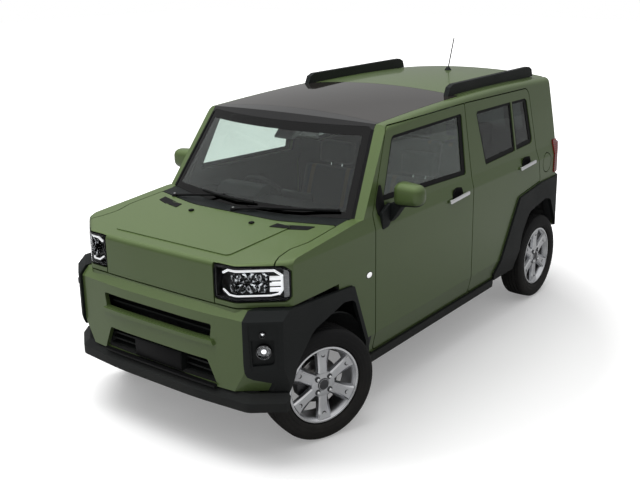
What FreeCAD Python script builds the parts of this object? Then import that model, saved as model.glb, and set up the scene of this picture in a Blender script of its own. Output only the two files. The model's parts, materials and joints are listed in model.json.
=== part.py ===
import FreeCAD, Part
import math
import os
import Sketcher
from FreeCAD import Placement, Rotation, Vector

# A small tall wagon with a flat bonnet, four side doors and a tailgate.
# Millimetres. The front faces -Y, the car's left side is +X, up is +Z.
# The origin is on the ground, under the middle of the car.

doc = FreeCAD.newDocument("kei_car")

# Driving dimensions: name, value, what it is.
DIMENSIONS = [
    ("wheelbase", 2460, "front axle to rear axle"),
    ("front_axle", -1163, "y of the front axle line"),
    ("hub_height", 298, "height of the wheel centres"),
    ("wheel_plane", 650, "x of a wheel's middle plane"),
    ("tyre_radius", 298, "outer radius of a tyre"),
    ("tyre_half", 82.5, "half the width of a tyre"),
    ("rim_radius", 204, "outer radius of a rim's flange"),
    ("kingpin", 574, "x of the axis that a front wheel steers about"),
    ("steered", 21, "degrees that the front wheels stand turned to the right"),
    ("half_width", 722, "half of the painted body's width"),
    ("trim_proud", 15, "how far the black claddings stand proud"),
    ("sill_height", 310, "bottom of the painted side"),
    ("bevel_height", 430, "top of the bevel above the sill"),
    ("shoulder_height", 1005, "crease under the side windows"),
    ("belt_height", 1080, "where the side windows start to lean in"),
    ("belt_half", 704, "half width at the belt"),
    ("rail_half", 640, "half width at the top of the doors"),
    ("rail_height", 1530, "height of the top of the doors"),
    ("roof_height", 1600, "highest point of the roof skin"),
    ("roof_peak", 700, "y of the roof's highest point"),
    ("roof_long", 19400, "lengthways radius of the roof"),
    ("roof_cross", 5000, "crosswise radius of the roof"),
    ("roof_corner", 45, "radius between side and roof"),
    ("nose", -1680, "y of the front bumper at the middle"),
    ("nose_side", -1653, "y of the front bumper where its corners start"),
    ("nose_half", 590, "x where the front bumper's corners start"),
    ("nose_end", -1547, "y where the front bumper's corners end"),
    ("nose_slope", 42, "slope along the front bumper's upper edge"),
    ("bonnet_face", -1645, "y of the bonnet's upright front"),
    ("bonnet_side", -1636, "y of that front where its corners start"),
    ("bonnet_half", 515, "x where the corners beside the bonnet start"),
    ("bonnet_end", -1464, "y where the corners beside the bonnet end"),
    ("bonnet_edge", 1012, "height of the bonnet's front edge"),
    ("cowl_height", 1080, "height of the bonnet's rear edge"),
    ("cowl", -900, "y where the bonnet line ends"),
    ("ledge", 800, "height of the ledge under the bonnet's front"),
    ("tail", 1694, "y of the rear end at the middle"),
    ("screen_axis", 900, "y of the axis that the windscreen curves about"),
    ("screen_low", 1901, "windscreen radius at its lower edge"),
    ("screen_high", 1601, "windscreen radius at its upper edge"),
    ("screen_foot", 1070, "height of the windscreen's lower edge"),
    ("screen_head", 1501, "height of the windscreen's upper edge"),
    ("door_wall", 58, "thickness of a door"),
    ("roof_wall", 38, "thickness of the roof and its rails"),
    ("screen_wall", 40, "thickness of the windscreen frame"),
    ("rear_wall", 52, "thickness of the tailgate"),
    ("skin", 24, "thickness of bonnet, wings and bumpers with their ribs"),
    ("gap", 7, "shut gap between panels"),
    ("glass", 5, "thickness of a pane"),
    ("floor_low", 262, "underside of the floor"),
    ("floor_half", 636, "half width of the floor"),
    ("seat_width", 470, "width of a front seat"),
    ("bench_width", 980, "width of the rear seat"),
    ("liner_radius", 358, "outer radius of the wheel arch liners"),
    ("wheel_rim", 180, "radius of the steering wheel"),
]

sheet = doc.addObject("Spreadsheet::Sheet", "dims")
for row, (alias, value, meaning) in enumerate(DIMENSIONS, 1):
    sheet.set("A%d" % row, meaning)
    sheet.set("B%d" % row, str(value))
    sheet.setAlias("B%d" % row, alias)
doc.recompute()


class Size(float):
    """A length from the sheet: its number, and the words that bind it."""

    def __new__(cls, value, words):
        size = float.__new__(cls, value)
        size.words = words
        return size

    def __add__(self, other):
        return Size(float(self) + float(other), "(%s + %s)" % (self.words, spell(other)))

    def __sub__(self, other):
        return Size(float(self) - float(other), "(%s - %s)" % (self.words, spell(other)))

    def __mul__(self, other):
        return Size(float(self) * float(other), "(%s * %s)" % (self.words, spell(other)))

    def __truediv__(self, other):
        return Size(float(self) / float(other), "(%s / %s)" % (self.words, spell(other)))

    def __neg__(self):
        return Size(-float(self), "(0 - %s)" % self.words)


def spell(value):
    """The words for a value inside an expression."""
    return value.words if isinstance(value, Size) else repr(float(value))


class Sizes:
    """Reads the sheet: d.wheelbase is the wheelbase."""

    def __getattr__(self, alias):
        return Size(sheet.get(alias), "dims.%s" % alias)


d = Sizes()

REAR_AXLE = d.front_axle + d.wheelbase
LEFT = 1
RIGHT = -1
SIDES = (("left", LEFT), ("right", RIGHT))
FAR = 900
pieces = []


def bind(thing, name, value):
    """Set a number, bound to the sheet where it comes from there."""
    if isinstance(value, Size):
        thing.setExpression(name, value.words)
    elif not name.startswith("Placement"):
        setattr(thing, name, value)


def keep(thing, label):
    """Count an object as a sub-part that is written out under its label."""
    thing.Label = label
    pieces.append(thing)
    return thing


def formed(label, shape):
    """A sub-part cut from the body's master form."""
    thing = doc.addObject("Part::Feature", label)
    thing.Shape = shape
    return keep(thing, label)


# Sketched bodies, boxes and bars

def datum(body, role):
    """One of a body's own origin planes or axes."""
    return [feature for feature in body.Origin.OriginFeatures if feature.Role == role][0]


def sketched(body, role, corners, lift=0.0):
    """A closed outline on a body's plane, each corner held by two distances from the origin."""
    sketch = body.newObject("Sketcher::SketchObject", "outline")
    sketch.AttachmentSupport = [(datum(body, role), "")]
    sketch.MapMode = "FlatFace"
    sketch.AttachmentOffset = Placement(Vector(0, 0, float(lift)), Rotation())
    if isinstance(lift, Size):
        sketch.setExpression("AttachmentOffset.Base.z", lift.words)
    count = len(corners)
    spots = [Vector(a, b, 0) for a, b in corners]
    for i in range(count):
        sketch.addGeometry(Part.LineSegment(spots[i], spots[(i + 1) % count]), False)
    for i in range(count):
        sketch.addConstraint(Sketcher.Constraint("Coincident", i, 2, (i + 1) % count, 1))
    for i, corner in enumerate(corners):
        for kind, axis, value in (("DistanceX", -2, corner[0]), ("DistanceY", -1, corner[1])):
            if value == 0:
                sketch.addConstraint(Sketcher.Constraint("PointOnObject", i, 1, axis))
                continue
            index = sketch.addConstraint(Sketcher.Constraint(kind, -1, 1, i, 1, float(value)))
            if isinstance(value, Size):
                sketch.setExpression("Constraints[%d]" % index, value.words)
    return sketch


def started(label):
    """An empty body."""
    body = doc.addObject("PartDesign::Body", label)
    body.Label = label
    return body


def pulled_out(body, role, corners, length, lift=0.0):
    """Material pulled from an outline."""
    pad = body.newObject("PartDesign::Pad", "pull")
    pad.Profile = sketched(body, role, corners, lift)
    bind(pad, "Length", length)
    return pad


def turned_out(body, corners, axis):
    """Material turned from an outline on the XZ plane about an axis of the body."""
    turn = body.newObject("PartDesign::Revolution", "turn")
    turn.Profile = sketched(body, "XZ_Plane", corners)
    turn.ReferenceAxis = (datum(body, axis), [""])
    turn.Angle = 360
    return turn


def softened(body, step, radius, wanted):
    """The wanted edges of a step rounded."""
    doc.recompute()
    names = ["Edge%d" % (i + 1) for i, edge in enumerate(step.Shape.Edges) if wanted(edge)]
    fillet = body.newObject("PartDesign::Fillet", "soften")
    fillet.Base = (step, names)
    fillet.Radius = radius
    body.Tip = fillet
    return fillet


def across(edge):
    """Whether an edge runs straight across the car."""
    return edge.BoundBox.YLength < 0.1 and edge.BoundBox.ZLength < 0.1


def placed(thing, x, y, z, turn=Rotation()):
    """Put an object somewhere, bound to the sheet where its place comes from there."""
    thing.Placement = Placement(Vector(x, y, z), turn)
    for axis, value in (("x", x), ("y", y), ("z", z)):
        bind(thing, "Placement.Base.%s" % axis, value)
    return thing


def box(x, y, z, long, wide, high):
    """A box from its lowest corner."""
    thing = doc.addObject("Part::Box", "box")
    for name, value in (("Length", long), ("Width", wide), ("Height", high)):
        bind(thing, name, value)
    return placed(thing, x, y, z)


def bar(radius, start, end):
    """A round bar from one point to another."""
    run = Vector(*end) - Vector(*start)
    thing = doc.addObject("Part::Cylinder", "bar")
    bind(thing, "Radius", radius)
    thing.Height = run.Length
    return placed(thing, start[0], start[1], start[2], Rotation(Vector(0, 0, 1), run))


def united(label, things):
    """Objects fused into one sub-part."""
    whole = doc.addObject("Part::MultiFuse", label)
    whole.Shapes = things
    whole.Refine = True
    return keep(whole, label)


def paired(label, thing):
    """An object and its mirror image across the car, as one sub-part."""
    twin = doc.addObject("Part::Mirroring", "twin")
    twin.Source = thing
    twin.Normal = Vector(1, 0, 0)
    pair = doc.addObject("Part::Compound", label)
    pair.Links = [thing, twin]
    return keep(pair, label)


# Outlines and solids

def corner_arc(before, here, after, radius):
    """Start, middle and end of the arc that rounds a corner."""
    back = (before - here).normalize()
    ahead = (after - here).normalize()
    half = back.getAngle(ahead) / 2
    reach = radius / math.tan(half)
    centre = here + (back + ahead).normalize() * (radius / math.sin(half))
    middle = centre + (here - centre).normalize() * radius
    return here + back * reach, middle, here + ahead * reach


def outline(corners, place):
    """A closed wire through corners (a, b) or (a, b, radius)."""
    spots = [place(c[0], c[1]) for c in corners]
    radii = [c[2] if len(c) > 2 else 0 for c in corners]
    edges = []
    last = len(spots)
    ends = []
    for i, spot in enumerate(spots):
        if radii[i] > 0:
            ends.append(corner_arc(spots[i - 1], spot, spots[(i + 1) % last], radii[i]))
        else:
            ends.append((spot, spot, spot))
    for i in range(last):
        start, middle, end = ends[i]
        if radii[i] > 0:
            edges.append(Part.Arc(start, middle, end).toShape())
        following = ends[(i + 1) % last][0]
        if end.distanceToPoint(following) > 0.01:
            edges.append(Part.LineSegment(end, following).toShape())
    return Part.Wire(edges)


AXES = {
    "x": (Vector(1, 0, 0), lambda a, b: Vector(0, a, b)),
    "y": (Vector(0, 1, 0), lambda a, b: Vector(a, 0, b)),
    "z": (Vector(0, 0, 1), lambda a, b: Vector(a, b, 0)),
}


def prism(corners, axis, low, high, inset=0.0):
    """An outline drawn across an axis and pulled from low to high along it."""
    along, place = AXES[axis]
    face = Part.Face(outline(corners, place))
    if inset:
        face = face.makeOffset2D(-inset, 2)
    face.translate(along * low)
    return face.extrude(along * (high - low))


def mirrored(shape):
    """The same shape on the car's other side."""
    return shape.mirror(Vector(0, 0, 0), Vector(1, 0, 0))


def on_side(shape, side):
    """A shape drawn for the left side, on the side asked for."""
    return shape if side == LEFT else mirrored(shape)


def block(x0, x1, y0, y1, z0, z1):
    """A box between two corners."""
    return Part.makeBox(x1 - x0, y1 - y0, z1 - z0, Vector(x0, y0, z0))


def rod(radius, start, end):
    """A round bar from one point to another."""
    run = Vector(*end) - Vector(*start)
    return Part.makeCylinder(radius, run.Length, Vector(*start), run)


def joined(shapes):
    """Shapes fused into one."""
    return shapes[0].multiFuse(shapes[1:]).removeSplitter()


def largest(shape):
    """The biggest solid of a shape, without the slivers beside it."""
    return max(shape.Solids, key=lambda solid: solid.Volume)


# Master form of the body

SECTION = [
    (d.half_width - 36, d.sill_height - 60),
    (d.half_width - 30, d.sill_height),
    (d.half_width - 2, d.bevel_height, 30),
    (d.half_width, d.shoulder_height, 30),
    (d.belt_half, d.belt_height, 40),
    (d.rail_half - (d.belt_half - d.rail_half) / 3, d.rail_height + 150),
]


def section_outline():
    """The body seen from the front, both halves."""
    left = [(-c[0],) + tuple(c[1:]) for c in reversed(SECTION)]
    return SECTION + left


def tube(side, roof):
    """The front-view section pulled lengthways, under the crowned roof."""
    walls = prism(section_outline(), "y", -1750, 1750, side)
    half = 800.0
    top = d.roof_height - roof
    cross = d.roof_cross - roof
    drop = cross - math.sqrt(cross ** 2 - half ** 2)
    arch = [
        Part.Arc(Vector(-half, d.roof_peak, top - drop), Vector(0, d.roof_peak, top),
                 Vector(half, d.roof_peak, top - drop)).toShape(),
        Part.LineSegment(Vector(half, d.roof_peak, top - drop), Vector(half, d.roof_peak, 150)).toShape(),
        Part.LineSegment(Vector(half, d.roof_peak, 150), Vector(-half, d.roof_peak, 150)).toShape(),
        Part.LineSegment(Vector(-half, d.roof_peak, 150), Vector(-half, d.roof_peak, top - drop)).toShape(),
    ]
    face = Part.Face(Part.Wire(arch))
    hub = Vector(0, d.roof_peak, d.roof_height - d.roof_long)
    face.rotate(hub, Vector(1, 0, 0), -9)
    crown = face.revolve(hub, Vector(1, 0, 0), 18)
    body = walls.common(crown).Solids[0]
    edges = [e for e in body.Edges
             if e.BoundBox.YLength > 3000 and e.BoundBox.ZMin > 1300 and abs(e.CenterOfMass.x) > 500]
    return body.makeFillet(d.roof_corner - roof * 0.5, edges)


def tail_outline():
    """The rear end seen from above, from left to right."""
    half = d.half_width + 3
    return [(half, d.tail - 62, 120), (320, d.tail, 1800), (-320, d.tail, 1800), (-half, d.tail - 62, 120)]


def bumper_outline():
    """The body at the front bumper's level seen from above."""
    half = d.half_width + 3
    return [
        (-half, d.nose_end), (-d.nose_half, d.nose_side, 60), (-280, d.nose, 2500),
        (280, d.nose, 2500), (d.nose_half, d.nose_side, 60), (half, d.nose_end),
    ] + tail_outline()


def bonnet_outline():
    """The body at the bonnet's level seen from above."""
    half = d.half_width + 3
    return [
        (-half, d.bonnet_end + 14), (-half + 12, d.bonnet_end - 10), (-d.bonnet_half, d.bonnet_side, 50),
        (-200, d.bonnet_face, 3000), (200, d.bonnet_face, 3000), (d.bonnet_half, d.bonnet_side, 50),
        (half - 12, d.bonnet_end - 10), (half, d.bonnet_end + 14),
    ] + tail_outline()


def top_outline():
    """The bonnet's top seen from the side."""
    rise = (d.cowl_height - d.bonnet_edge) / (d.cowl - d.bonnet_face)
    return [
        (-1900, d.bonnet_edge - rise * (1900 + d.bonnet_face)), (d.cowl, d.cowl_height, 300),
        (d.tail + 60, d.cowl_height), (d.tail + 60, 160), (-1900, 160),
    ]


CORNER = Vector((d.nose_half + d.half_width + 3) / 2, (d.nose_side + d.nose_end) / 2, 0)
CORNER_TURN = math.degrees(math.atan2(d.nose_end - d.nose_side, d.half_width + 3 - d.nose_half))


def at_corner(shape):
    """A shape drawn against a flat front at y = 0, moved against the front bumper's left corner."""
    shape = shape.copy()
    shape.rotate(Vector(0, 0, 0), Vector(0, 0, 1), CORNER_TURN)
    shape.translate(CORNER)
    return shape


def bumper_block(low, high, slope, inset, tuck):
    """The front bumper's level, its upper front edge sloped and its lower corners tucked under."""
    shape = prism(bumper_outline(), "z", low, high, inset)
    rim = [e for e in shape.Edges if e.BoundBox.ZMin > high - 1 and e.BoundBox.YMax < -1400 - inset]
    shape = shape.makeChamfer(slope - 0.586 * inset, rim)
    if tuck:
        wedge = at_corner(prism([(-80, 530), (inset, 530), (inset + 58, 350), (inset + 90, 100), (-80, 100)],
                                "x", -180, 180))
        shape = shape.cut(wedge).cut(mirrored(wedge))
    return shape


def bonnet_block(inset):
    """The bonnet's level with its rounded front edge."""
    shape = prism(bonnet_outline(), "z", 600, 1300, inset).common(prism(top_outline(), "x", -FAR, FAR, inset))
    if inset > 30:
        return shape
    rim = [e for e in shape.Edges if e.BoundBox.ZMin > 960 and e.BoundBox.YMax < -1440]
    return shape.makeFillet(max(28.0 - inset, 6.0), rim)


def cabin_plan(level, tail, radius, inset):
    """The cabin seen from above at one level."""
    half = d.half_width + 3
    corners = [
        (-half, -1300), (half, -1300), (half, tail - 62, radius), (320, tail, 1800),
        (-320, tail, 1800), (-half, tail - 62, radius),
    ]
    face = Part.Face(outline(corners, AXES["z"][1]))
    if inset:
        face = face.makeOffset2D(-inset, 2)
    wire = face.OuterWire
    wire.translate(Vector(0, 0, level))
    return wire


def screen_cone(inset):
    """The upright cone that the windscreen is a part of."""
    slope = (d.screen_low - d.screen_high) / (d.screen_head - d.screen_foot)
    low = d.screen_low + slope * (d.screen_foot - 890) - inset
    high = d.screen_low - slope * (1720 - d.screen_foot) - inset
    return Part.makeCone(low, high, 830, Vector(0, d.screen_axis, 890))


def cabin_block(screen, inset):
    """The cabin above the windows' lower edge, rounder at its rear corners the higher it gets."""
    walls = Part.makeLoft([cabin_plan(900, d.tail + 10, 120, inset), cabin_plan(1750, d.tail - 92, 250, inset)],
                          True, True)
    side = [(-1300, 900), (-1300, 1720), (1480, 1720), (1600, 1572, 30), (1650, 1400), (1800, 1300), (1800, 900)]
    walls = walls.common(prism(side, "x", -FAR, FAR, inset)).common(prism(bonnet_outline(), "z", 180, 1750, inset))
    return walls.common(screen_cone(screen))


def form(side=0.0, roof=0.0, screen=0.0, nose=0.0, rear=0.0, tuck=True):
    """The whole outer form of the body, drawn in by each amount."""
    ahead = bumper_block(180, float(d.ledge) - nose, float(d.nose_slope), nose, tuck).fuse(bonnet_block(nose))
    ahead = ahead.common(block(-FAR, FAR, -1900, 0, 0, 2000))
    behind = prism(bonnet_outline(), "z", 180, 1300, rear).common(prism(top_outline(), "x", -FAR, FAR, rear))
    behind = behind.common(block(-FAR, FAR, 0, 1900, 0, 2000))
    low = ahead.fuse(behind)
    whole = low.fuse(cabin_block(screen, rear))
    return largest(tube(side, roof).common(whole).removeSplitter())


outer = form()
thin = form(d.skin, d.skin, d.skin, d.skin, d.skin)
cabin = form(d.door_wall, d.roof_wall, d.screen_wall, d.skin, d.rear_wall)
flare = form(-d.trim_proud, 0, 0, -d.trim_proud, -d.trim_proud)
flare_in = form(8.0, 0, 0, 8.0, 8.0)
pane_out = form(9.0, 0, 2.0, 0, 9.0)
pane_in = form(9.0 + d.glass, 0, 2.0 + d.glass, 0, 9.0 + d.glass)

shell = outer.cut(cabin)
skin = outer.cut(thin)
pane = pane_out.cut(pane_in)
cladding = flare.cut(flare_in)

# Shut lines and openings, seen from the side as (y, z)

DOOR_TOP = 1516
FRONT_DOOR = [
    (-770, 322, 30), (-770, d.belt_height + 10, 30), (-556, DOOR_TOP - 6, 60),
    (300, DOOR_TOP + 6, 12), (300, 322, 30),
]
REAR_DOOR = [
    (307, 322, 30), (307, DOOR_TOP + 6, 12), (1200, DOOR_TOP - 6, 60), (1240, 1090, 60),
    (1290, 858, 12), (944, 818, 12), (640, 352, 30), (632, 322),
]
FRONT_PANE = [(-672, 1136, 12), (-516, 1458, 45), (258, 1470, 22), (238, 1104, 16)]
REAR_PANE = [(498, 1114, 16), (436, 1456, 22), (918, 1454, 6), (924, 1130, 6)]
QUARTER_PANE = [(942, 1131, 6), (936, 1453, 6), (1160, 1450, 40), (1196, 1142, 35)]
FRONT_ARCH = [
    (-1560, 100), (-1536, 320, 60), (-1450, 520, 150), (-1330, 640, 110),
    (-1075, 706, 60), (-985, 690, 50), (-849, 330, 40), (-838, 100),
]
REAR_ARCH = [
    (926, 100), (946, 330, 60), (1010, 545, 150), (1110, 670, 110),
    (1375, 712, 60), (1462, 690, 50), (1578, 470, 20), (1640, 440), (1800, 430), (1800, 100),
]
FRONT_TRIM = [
    (-1760, 372), (-1760, 806), (-1470, 804, 20), (-985, 766, 20), (-812, 300, 10), (-816, 250), (-1760, 250),
]
REAR_TRIM = [
    (650, 300), (640, 344, 10), (955, 806, 20), (1300, 846, 60), (1800, 846), (1800, 440), (1700, 250), (660, 250),
]
NOSE_EDGE = 578


def pulled(corners, grow=0.0, low=300, high=FAR):
    """A side-view outline pulled through the left side, drawn out by an amount."""
    return prism(corners, "x", low, high, -grow)


front_arch = pulled(FRONT_ARCH)
rear_arch = pulled(REAR_ARCH)
front_trim = pulled(FRONT_TRIM)
rear_trim = pulled(REAR_TRIM, -3.0)

# Side doors, with their pull handles

ROOF_HALF = 588
walls_in = prism(section_outline(), "y", -1750, 1750, float(d.door_wall))
side_skin = outer.common(block(300, FAR, -900, 1400, 200, 1700)).cut(walls_in).cut(
    block(0, ROOF_HALF + 7, -900, 1700, 1440, 1700))


def handle(y, z):
    """A door's pull handle, and the hollow behind it."""
    grip = prism([(y - 114, z - 15, 10), (y + 114, z - 2, 10), (y + 114, z + 20, 10), (y - 114, z + 7, 10)],
                 "x", 728, 742)
    feet = block(700, 732, y - 106, y - 78, z - 7, z + 3).fuse(block(700, 732, y + 78, y + 106, z + 2, z + 12))
    hollow = Part.makeSphere(92, Vector(784, y, z + 6)).common(block(690, 800, y - 66, y + 66, z - 12, z + 62))
    return grip.fuse(feet), hollow


DOORS = (
    ("front", FRONT_DOOR, (FRONT_PANE,), handle(104, 991)),
    ("rear", REAR_DOOR, (REAR_PANE, QUARTER_PANE), handle(1056, 1010)),
)
backs = prism(section_outline(), "y", -1750, 1750, 24.0)
for name, side in SIDES:
    for place, door, windows, (grip, hollow) in DOORS:
        step = pulled(door, 1.0).cut(pulled(door, -8.0)).common(backs)
        panel = side_skin.common(pulled(door)).cut(step)
        glass = []
        for window in windows:
            panel = panel.cut(pulled(window))
            glass.append(largest(pane.common(pulled(window))))
        if place == "rear":
            panel = panel.cut(block(500, 690, 612, 700, 300, 400))
        panel = largest(panel).cut(hollow).fuse(grip)
        formed("door_%s_%s" % (place, name), on_side(largest(panel), side))
        formed("door_glass_%s_%s" % (place, name), on_side(Part.makeCompound(glass), side))

# Body sides: pillars, sill, rear quarter and roof rail

TAILGATE_HALF = 618
TAILGATE = [
    (-TAILGATE_HALF, 560, 30), (TAILGATE_HALF, 560, 30), (TAILGATE_HALF, 1120, 30),
    (560, 1700), (-560, 1700), (-TAILGATE_HALF, 1120, 30),
]
SCREEN = [(-648, 1060, 20), (648, 1060, 20), (572, 1512, 30), (-572, 1512, 30)]
SIDE_FRONT = -905
LID_Y = 1400
LID_Z = 967
LID_RADIUS = 65
screen_hole = prism(SCREEN, "y", -1300, -300)
side_block = block(0, FAR, SIDE_FRONT, 1800, 312, 1700)
lid_hole = Part.makeCylinder(LID_RADIUS + 6, 200, Vector(640, LID_Y, LID_Z), Vector(1, 0, 0))
tail_lamp_hole = block(622, FAR, 1512, 1800, 871, 1113)
side_shell = shell.common(side_block)
for hole in (
        pulled(FRONT_DOOR, d.gap), pulled(REAR_DOOR, d.gap), prism(TAILGATE, "y", 1470, 1800, -d.gap), screen_hole,
        block(-ROOF_HALF, ROOF_HALF, -900, 1700, 1475, 1700),
        block(-TAILGATE_HALF, TAILGATE_HALF, 1300, 1800, 200, 640),
        rear_arch, front_arch, block(0, 640, SIDE_FRONT - 5, -700, 200, 1090),
        pulled([(-1000, 200), (-1000, 1000), (-777, 1000), (-777, 200)]),
        block(0, 640, -1000, 1800, 200, 420), cladding.common(rear_trim), tail_lamp_hole):
    side_shell = side_shell.cut(hole)
side_shell = largest(side_shell)
formed("body_side_left", side_shell.cut(lid_hole))
formed("body_side_right", mirrored(side_shell))
lid = outer.cut(form(20.0, 0, 0, 0, 0)).common(
    Part.makeCylinder(LID_RADIUS, 200, Vector(640, LID_Y, LID_Z), Vector(1, 0, 0)))
formed("fuel_lid", largest(lid))

# Roof, roof glass, windscreen and cowl

SPLIT = 330
HEADER = -545
roof_half = ROOF_HALF - 2
roof_band = shell.common(block(-roof_half, roof_half, -900, 1556, 1475, 1700))
formed("roof_panel", largest(roof_band.common(block(-FAR, FAR, SPLIT, 1700, 1300, 1700))))
roof_pane = outer.cut(form(0, 8.0, 60, 0, 0)).common(block(-roof_half, roof_half, HEADER, SPLIT - 4, 1475, 1700))
formed("roof_glass", largest(roof_pane))
header = roof_band.common(block(-FAR, FAR, -900, HEADER - 2, 1300, 1700)).cut(screen_hole)
formed("roof_header", largest(header))
screen = pane.common(screen_hole).common(block(-FAR, FAR, -1100, -400, 1000, 1600))
formed("windscreen", largest(screen))
BONNET_PLAN = [
    (-720, -1760), (720, -1760), (651, -1507), (628, -1450, 20), (614, -1350, 80), (640, -1240, 80),
    (632, -1000, 12), (300, -1082, 500), (-300, -1082, 500), (-632, -1000, 12), (-640, -1240, 80),
    (-614, -1350, 80), (-628, -1450, 20), (-651, -1507),
]
bonnet_gap = prism(BONNET_PLAN, "z", 700, 1300, -d.gap)
cowl_half = d.floor_half - 2
cowl = prism(top_outline(), "x", -cowl_half, cowl_half).cut(prism(top_outline(), "x", -700, 700, 16))
cowl = cowl.common(block(-cowl_half, cowl_half, -1130, -860, 1000, 1100)).cut(bonnet_gap).cut(screen_cone(-1))
formed("cowl_panel", largest(cowl))

# Front lamps, bonnet and wings

LAMP = [(386, 836, 16), (386, 978, 20), (404, 1003, 10), (FAR, 1003), (FAR, 836)]
LAMP_END = [(-1760, 1100), (-1492, 1100), (-1492, 1004), (-1468, 978), (-1468, 858), (-1492, 830), (-1492, 700),
            (-1760, 700)]


def lamp_space(grow):
    """The room that the left headlamp takes, or the hole round it."""
    return prism(LAMP, "y", -1760, -1440, -grow).common(pulled(LAMP_END, grow))


deep = form(60.0, 0, 0, 60.0, 0, False)
lamp = largest(outer.cut(deep).common(lamp_space(0.0)))
formed("headlamps", Part.makeCompound([lamp, mirrored(lamp)]))
lamp_hole = lamp_space(6.0)

bonnet_zone = prism(BONNET_PLAN, "z", 1008, 1200).fuse(
    block(-380, 380, -1760, -1560, 807, 1100))
raised = bonnet_block(-5.0).cut(bonnet_block(6.0)).common(
    prism([(-404, -1556, 30), (404, -1556, 30), (440, -1112, 20), (-440, -1112, 20)], "z", 1000, 1200))
bonnet_panel = skin.common(bonnet_zone).cut(lamp_hole).cut(mirrored(lamp_hole)).fuse(raised).removeSplitter()
formed("bonnet", largest(bonnet_panel))

wing_zone = block(0, FAR, -1760, -777, 808, 1200).fuse(block(640, FAR, -1100, -777, 318, 900))
wing = skin.common(wing_zone).cut(bonnet_gap.cut(block(384, FAR, -1760, -1400, 700, 832)))
for hole in (pulled(FRONT_TRIM, 2.0), lamp_hole, front_arch, block(0, 636, -1140, -700, 700, 1300),
             block(0, 387, -1760, -1400, 700, 1003), block(0, 613, -1760, -1400, 836, 1003),
             block(0, FAR, -905, 0, 1000, 1700), block(0, 500, -1600, -700, 700, 1300)):
    wing = wing.cut(hole)
for name, side in SIDES:
    formed("wing_%s" % name, on_side(largest(wing), side))

# Front bumper, lower guard, grille and number plate holder

UPPER_SLOT = [(-372, 632, 8), (372, 632, 8), (384, 708, 12), (-384, 708, 12)]
LOWER_SLOT = [(-408, 396, 8), (408, 396, 8), (350, 520, 14), (-350, 520, 14)]
TIP = [(570, 560), (576, 560), (584, 480), (604, 462), (700, 428), (684, 390), (570, 390)]
upper_slot = prism(UPPER_SLOT, "y", -1760, -1400)
lower_slot = prism(LOWER_SLOT, "y", -1760, -1400)
tip = prism(TIP, "y", -1760, -1560)
cover = block(-NOSE_EDGE, NOSE_EDGE, -1760, -1500, 390, 800).fuse(tip).fuse(mirrored(tip))
cover = skin.common(cover).cut(upper_slot).cut(lower_slot)
lip = form(0, 0, 0, -14.0, 0, False).cut(thin).common(prism(
    [(-402, 606), (402, 606), (388, 628), (-388, 628)], "y", -1760, -1600))
cover = cover.fuse(lip).removeSplitter()
cover = cover.cut(bonnet_zone.common(block(-FAR, FAR, -1760, -1500, 790, 1100)))
formed("front_bumper", largest(cover))

guard = bumper_block(306, 396, 34.0, -18.0, False).cut(prism(bumper_outline(), "z", 200, 500, 34.0))
guard = guard.common(block(-FAR, FAR, -1760, -1520, 200, 388))
guard = guard.cut(pulled([(-1556, 200), (-1534, 320), (-1500, 500), (-1400, 500), (-1400, 200)]))
guard = guard.cut(mirrored(pulled([(-1556, 200), (-1534, 320), (-1500, 500), (-1400, 500), (-1400, 200)])))
formed("lower_guard", largest(guard))

bars = [block(-400, 400, -1606, -1590, 392, 528)]
for level in (406, 438, 471, 504):
    bars.append(prism([(-1636, level), (-1636, level + 9), (-1592, level + 13), (-1592, level + 4)],
                      "x", -400, 400).common(prism(LOWER_SLOT, "y", -1760, -1400, 2.0)))
plate = block(-168, 168, -1672, -1600, 408, 506)
for x in (-105, 105):
    plate = plate.cut(Part.makeCylinder(3.5, 30, Vector(x, -1680, 480), Vector(0, 1, 0)))
upper = [block(-390, 390, -1606, -1590, 622, 718)]
for level in (650, 682):
    upper.append(block(-370, 370, -1632, -1592, level, level + 9))
formed("grille", Part.makeCompound([joined(bars + [plate]), joined(upper)]))

# Black claddings at wheel arches and sills, fog lamps in the front ones

HOUSING = [(-78, 748, 8), (62, 748, 8), (62, 500, 8), (-66, 468, 8)]
RECESS = [(-66, 672, 6), (44, 672, 6), (44, 548, 20), (-60, 540, 6)]
front_zone = front_trim.common(block(NOSE_EDGE + 2, FAR, -1760, -800, 300, 900)).cut(
    block(0, 643, -1500, -700, 200, 900))
front_zone = front_zone.cut(block(0, FAR, -1760, -1515, 200, 390)).cut(prism(TIP, "y", -1760, -1560, -3.0))
front_cladding = largest(cladding.common(front_zone).cut(front_arch))
housing = at_corner(prism(HOUSING, "y", -60, -11))
recess = at_corner(prism(RECESS, "y", -60, 4))
front_cladding = front_cladding.cut(housing).cut(recess)
fog = at_corner(Part.makeCylinder(39, 20, Vector(-6, 6, 612), Vector(0, -1, 0)))
small = at_corner(Part.makeCylinder(17, 12, Vector(-10, -7, 700), Vector(0, -1, 0)))
front_cladding = largest(front_cladding.cut(fog).cut(small))
formed("arch_trims_front", Part.makeCompound([front_cladding, mirrored(front_cladding)]))
formed("fog_lamps", Part.makeCompound([fog, small, mirrored(fog), mirrored(small)]))
rear_zone = rear_trim.common(block(640, FAR, 600, 1800, 300, 900))
rear_cladding = largest(cladding.common(rear_zone).cut(rear_arch))
formed("arch_trims_rear", Part.makeCompound([rear_cladding, mirrored(rear_cladding)]))
sill = largest(flare.cut(form(60.0, 0, 0, 0, 0)).common(block(640, FAR, -806, 640, 258, 310)))
formed("sill_trims", Part.makeCompound([sill, mirrored(sill)]))

# Rear bumper, tail lamps, tailgate

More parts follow.
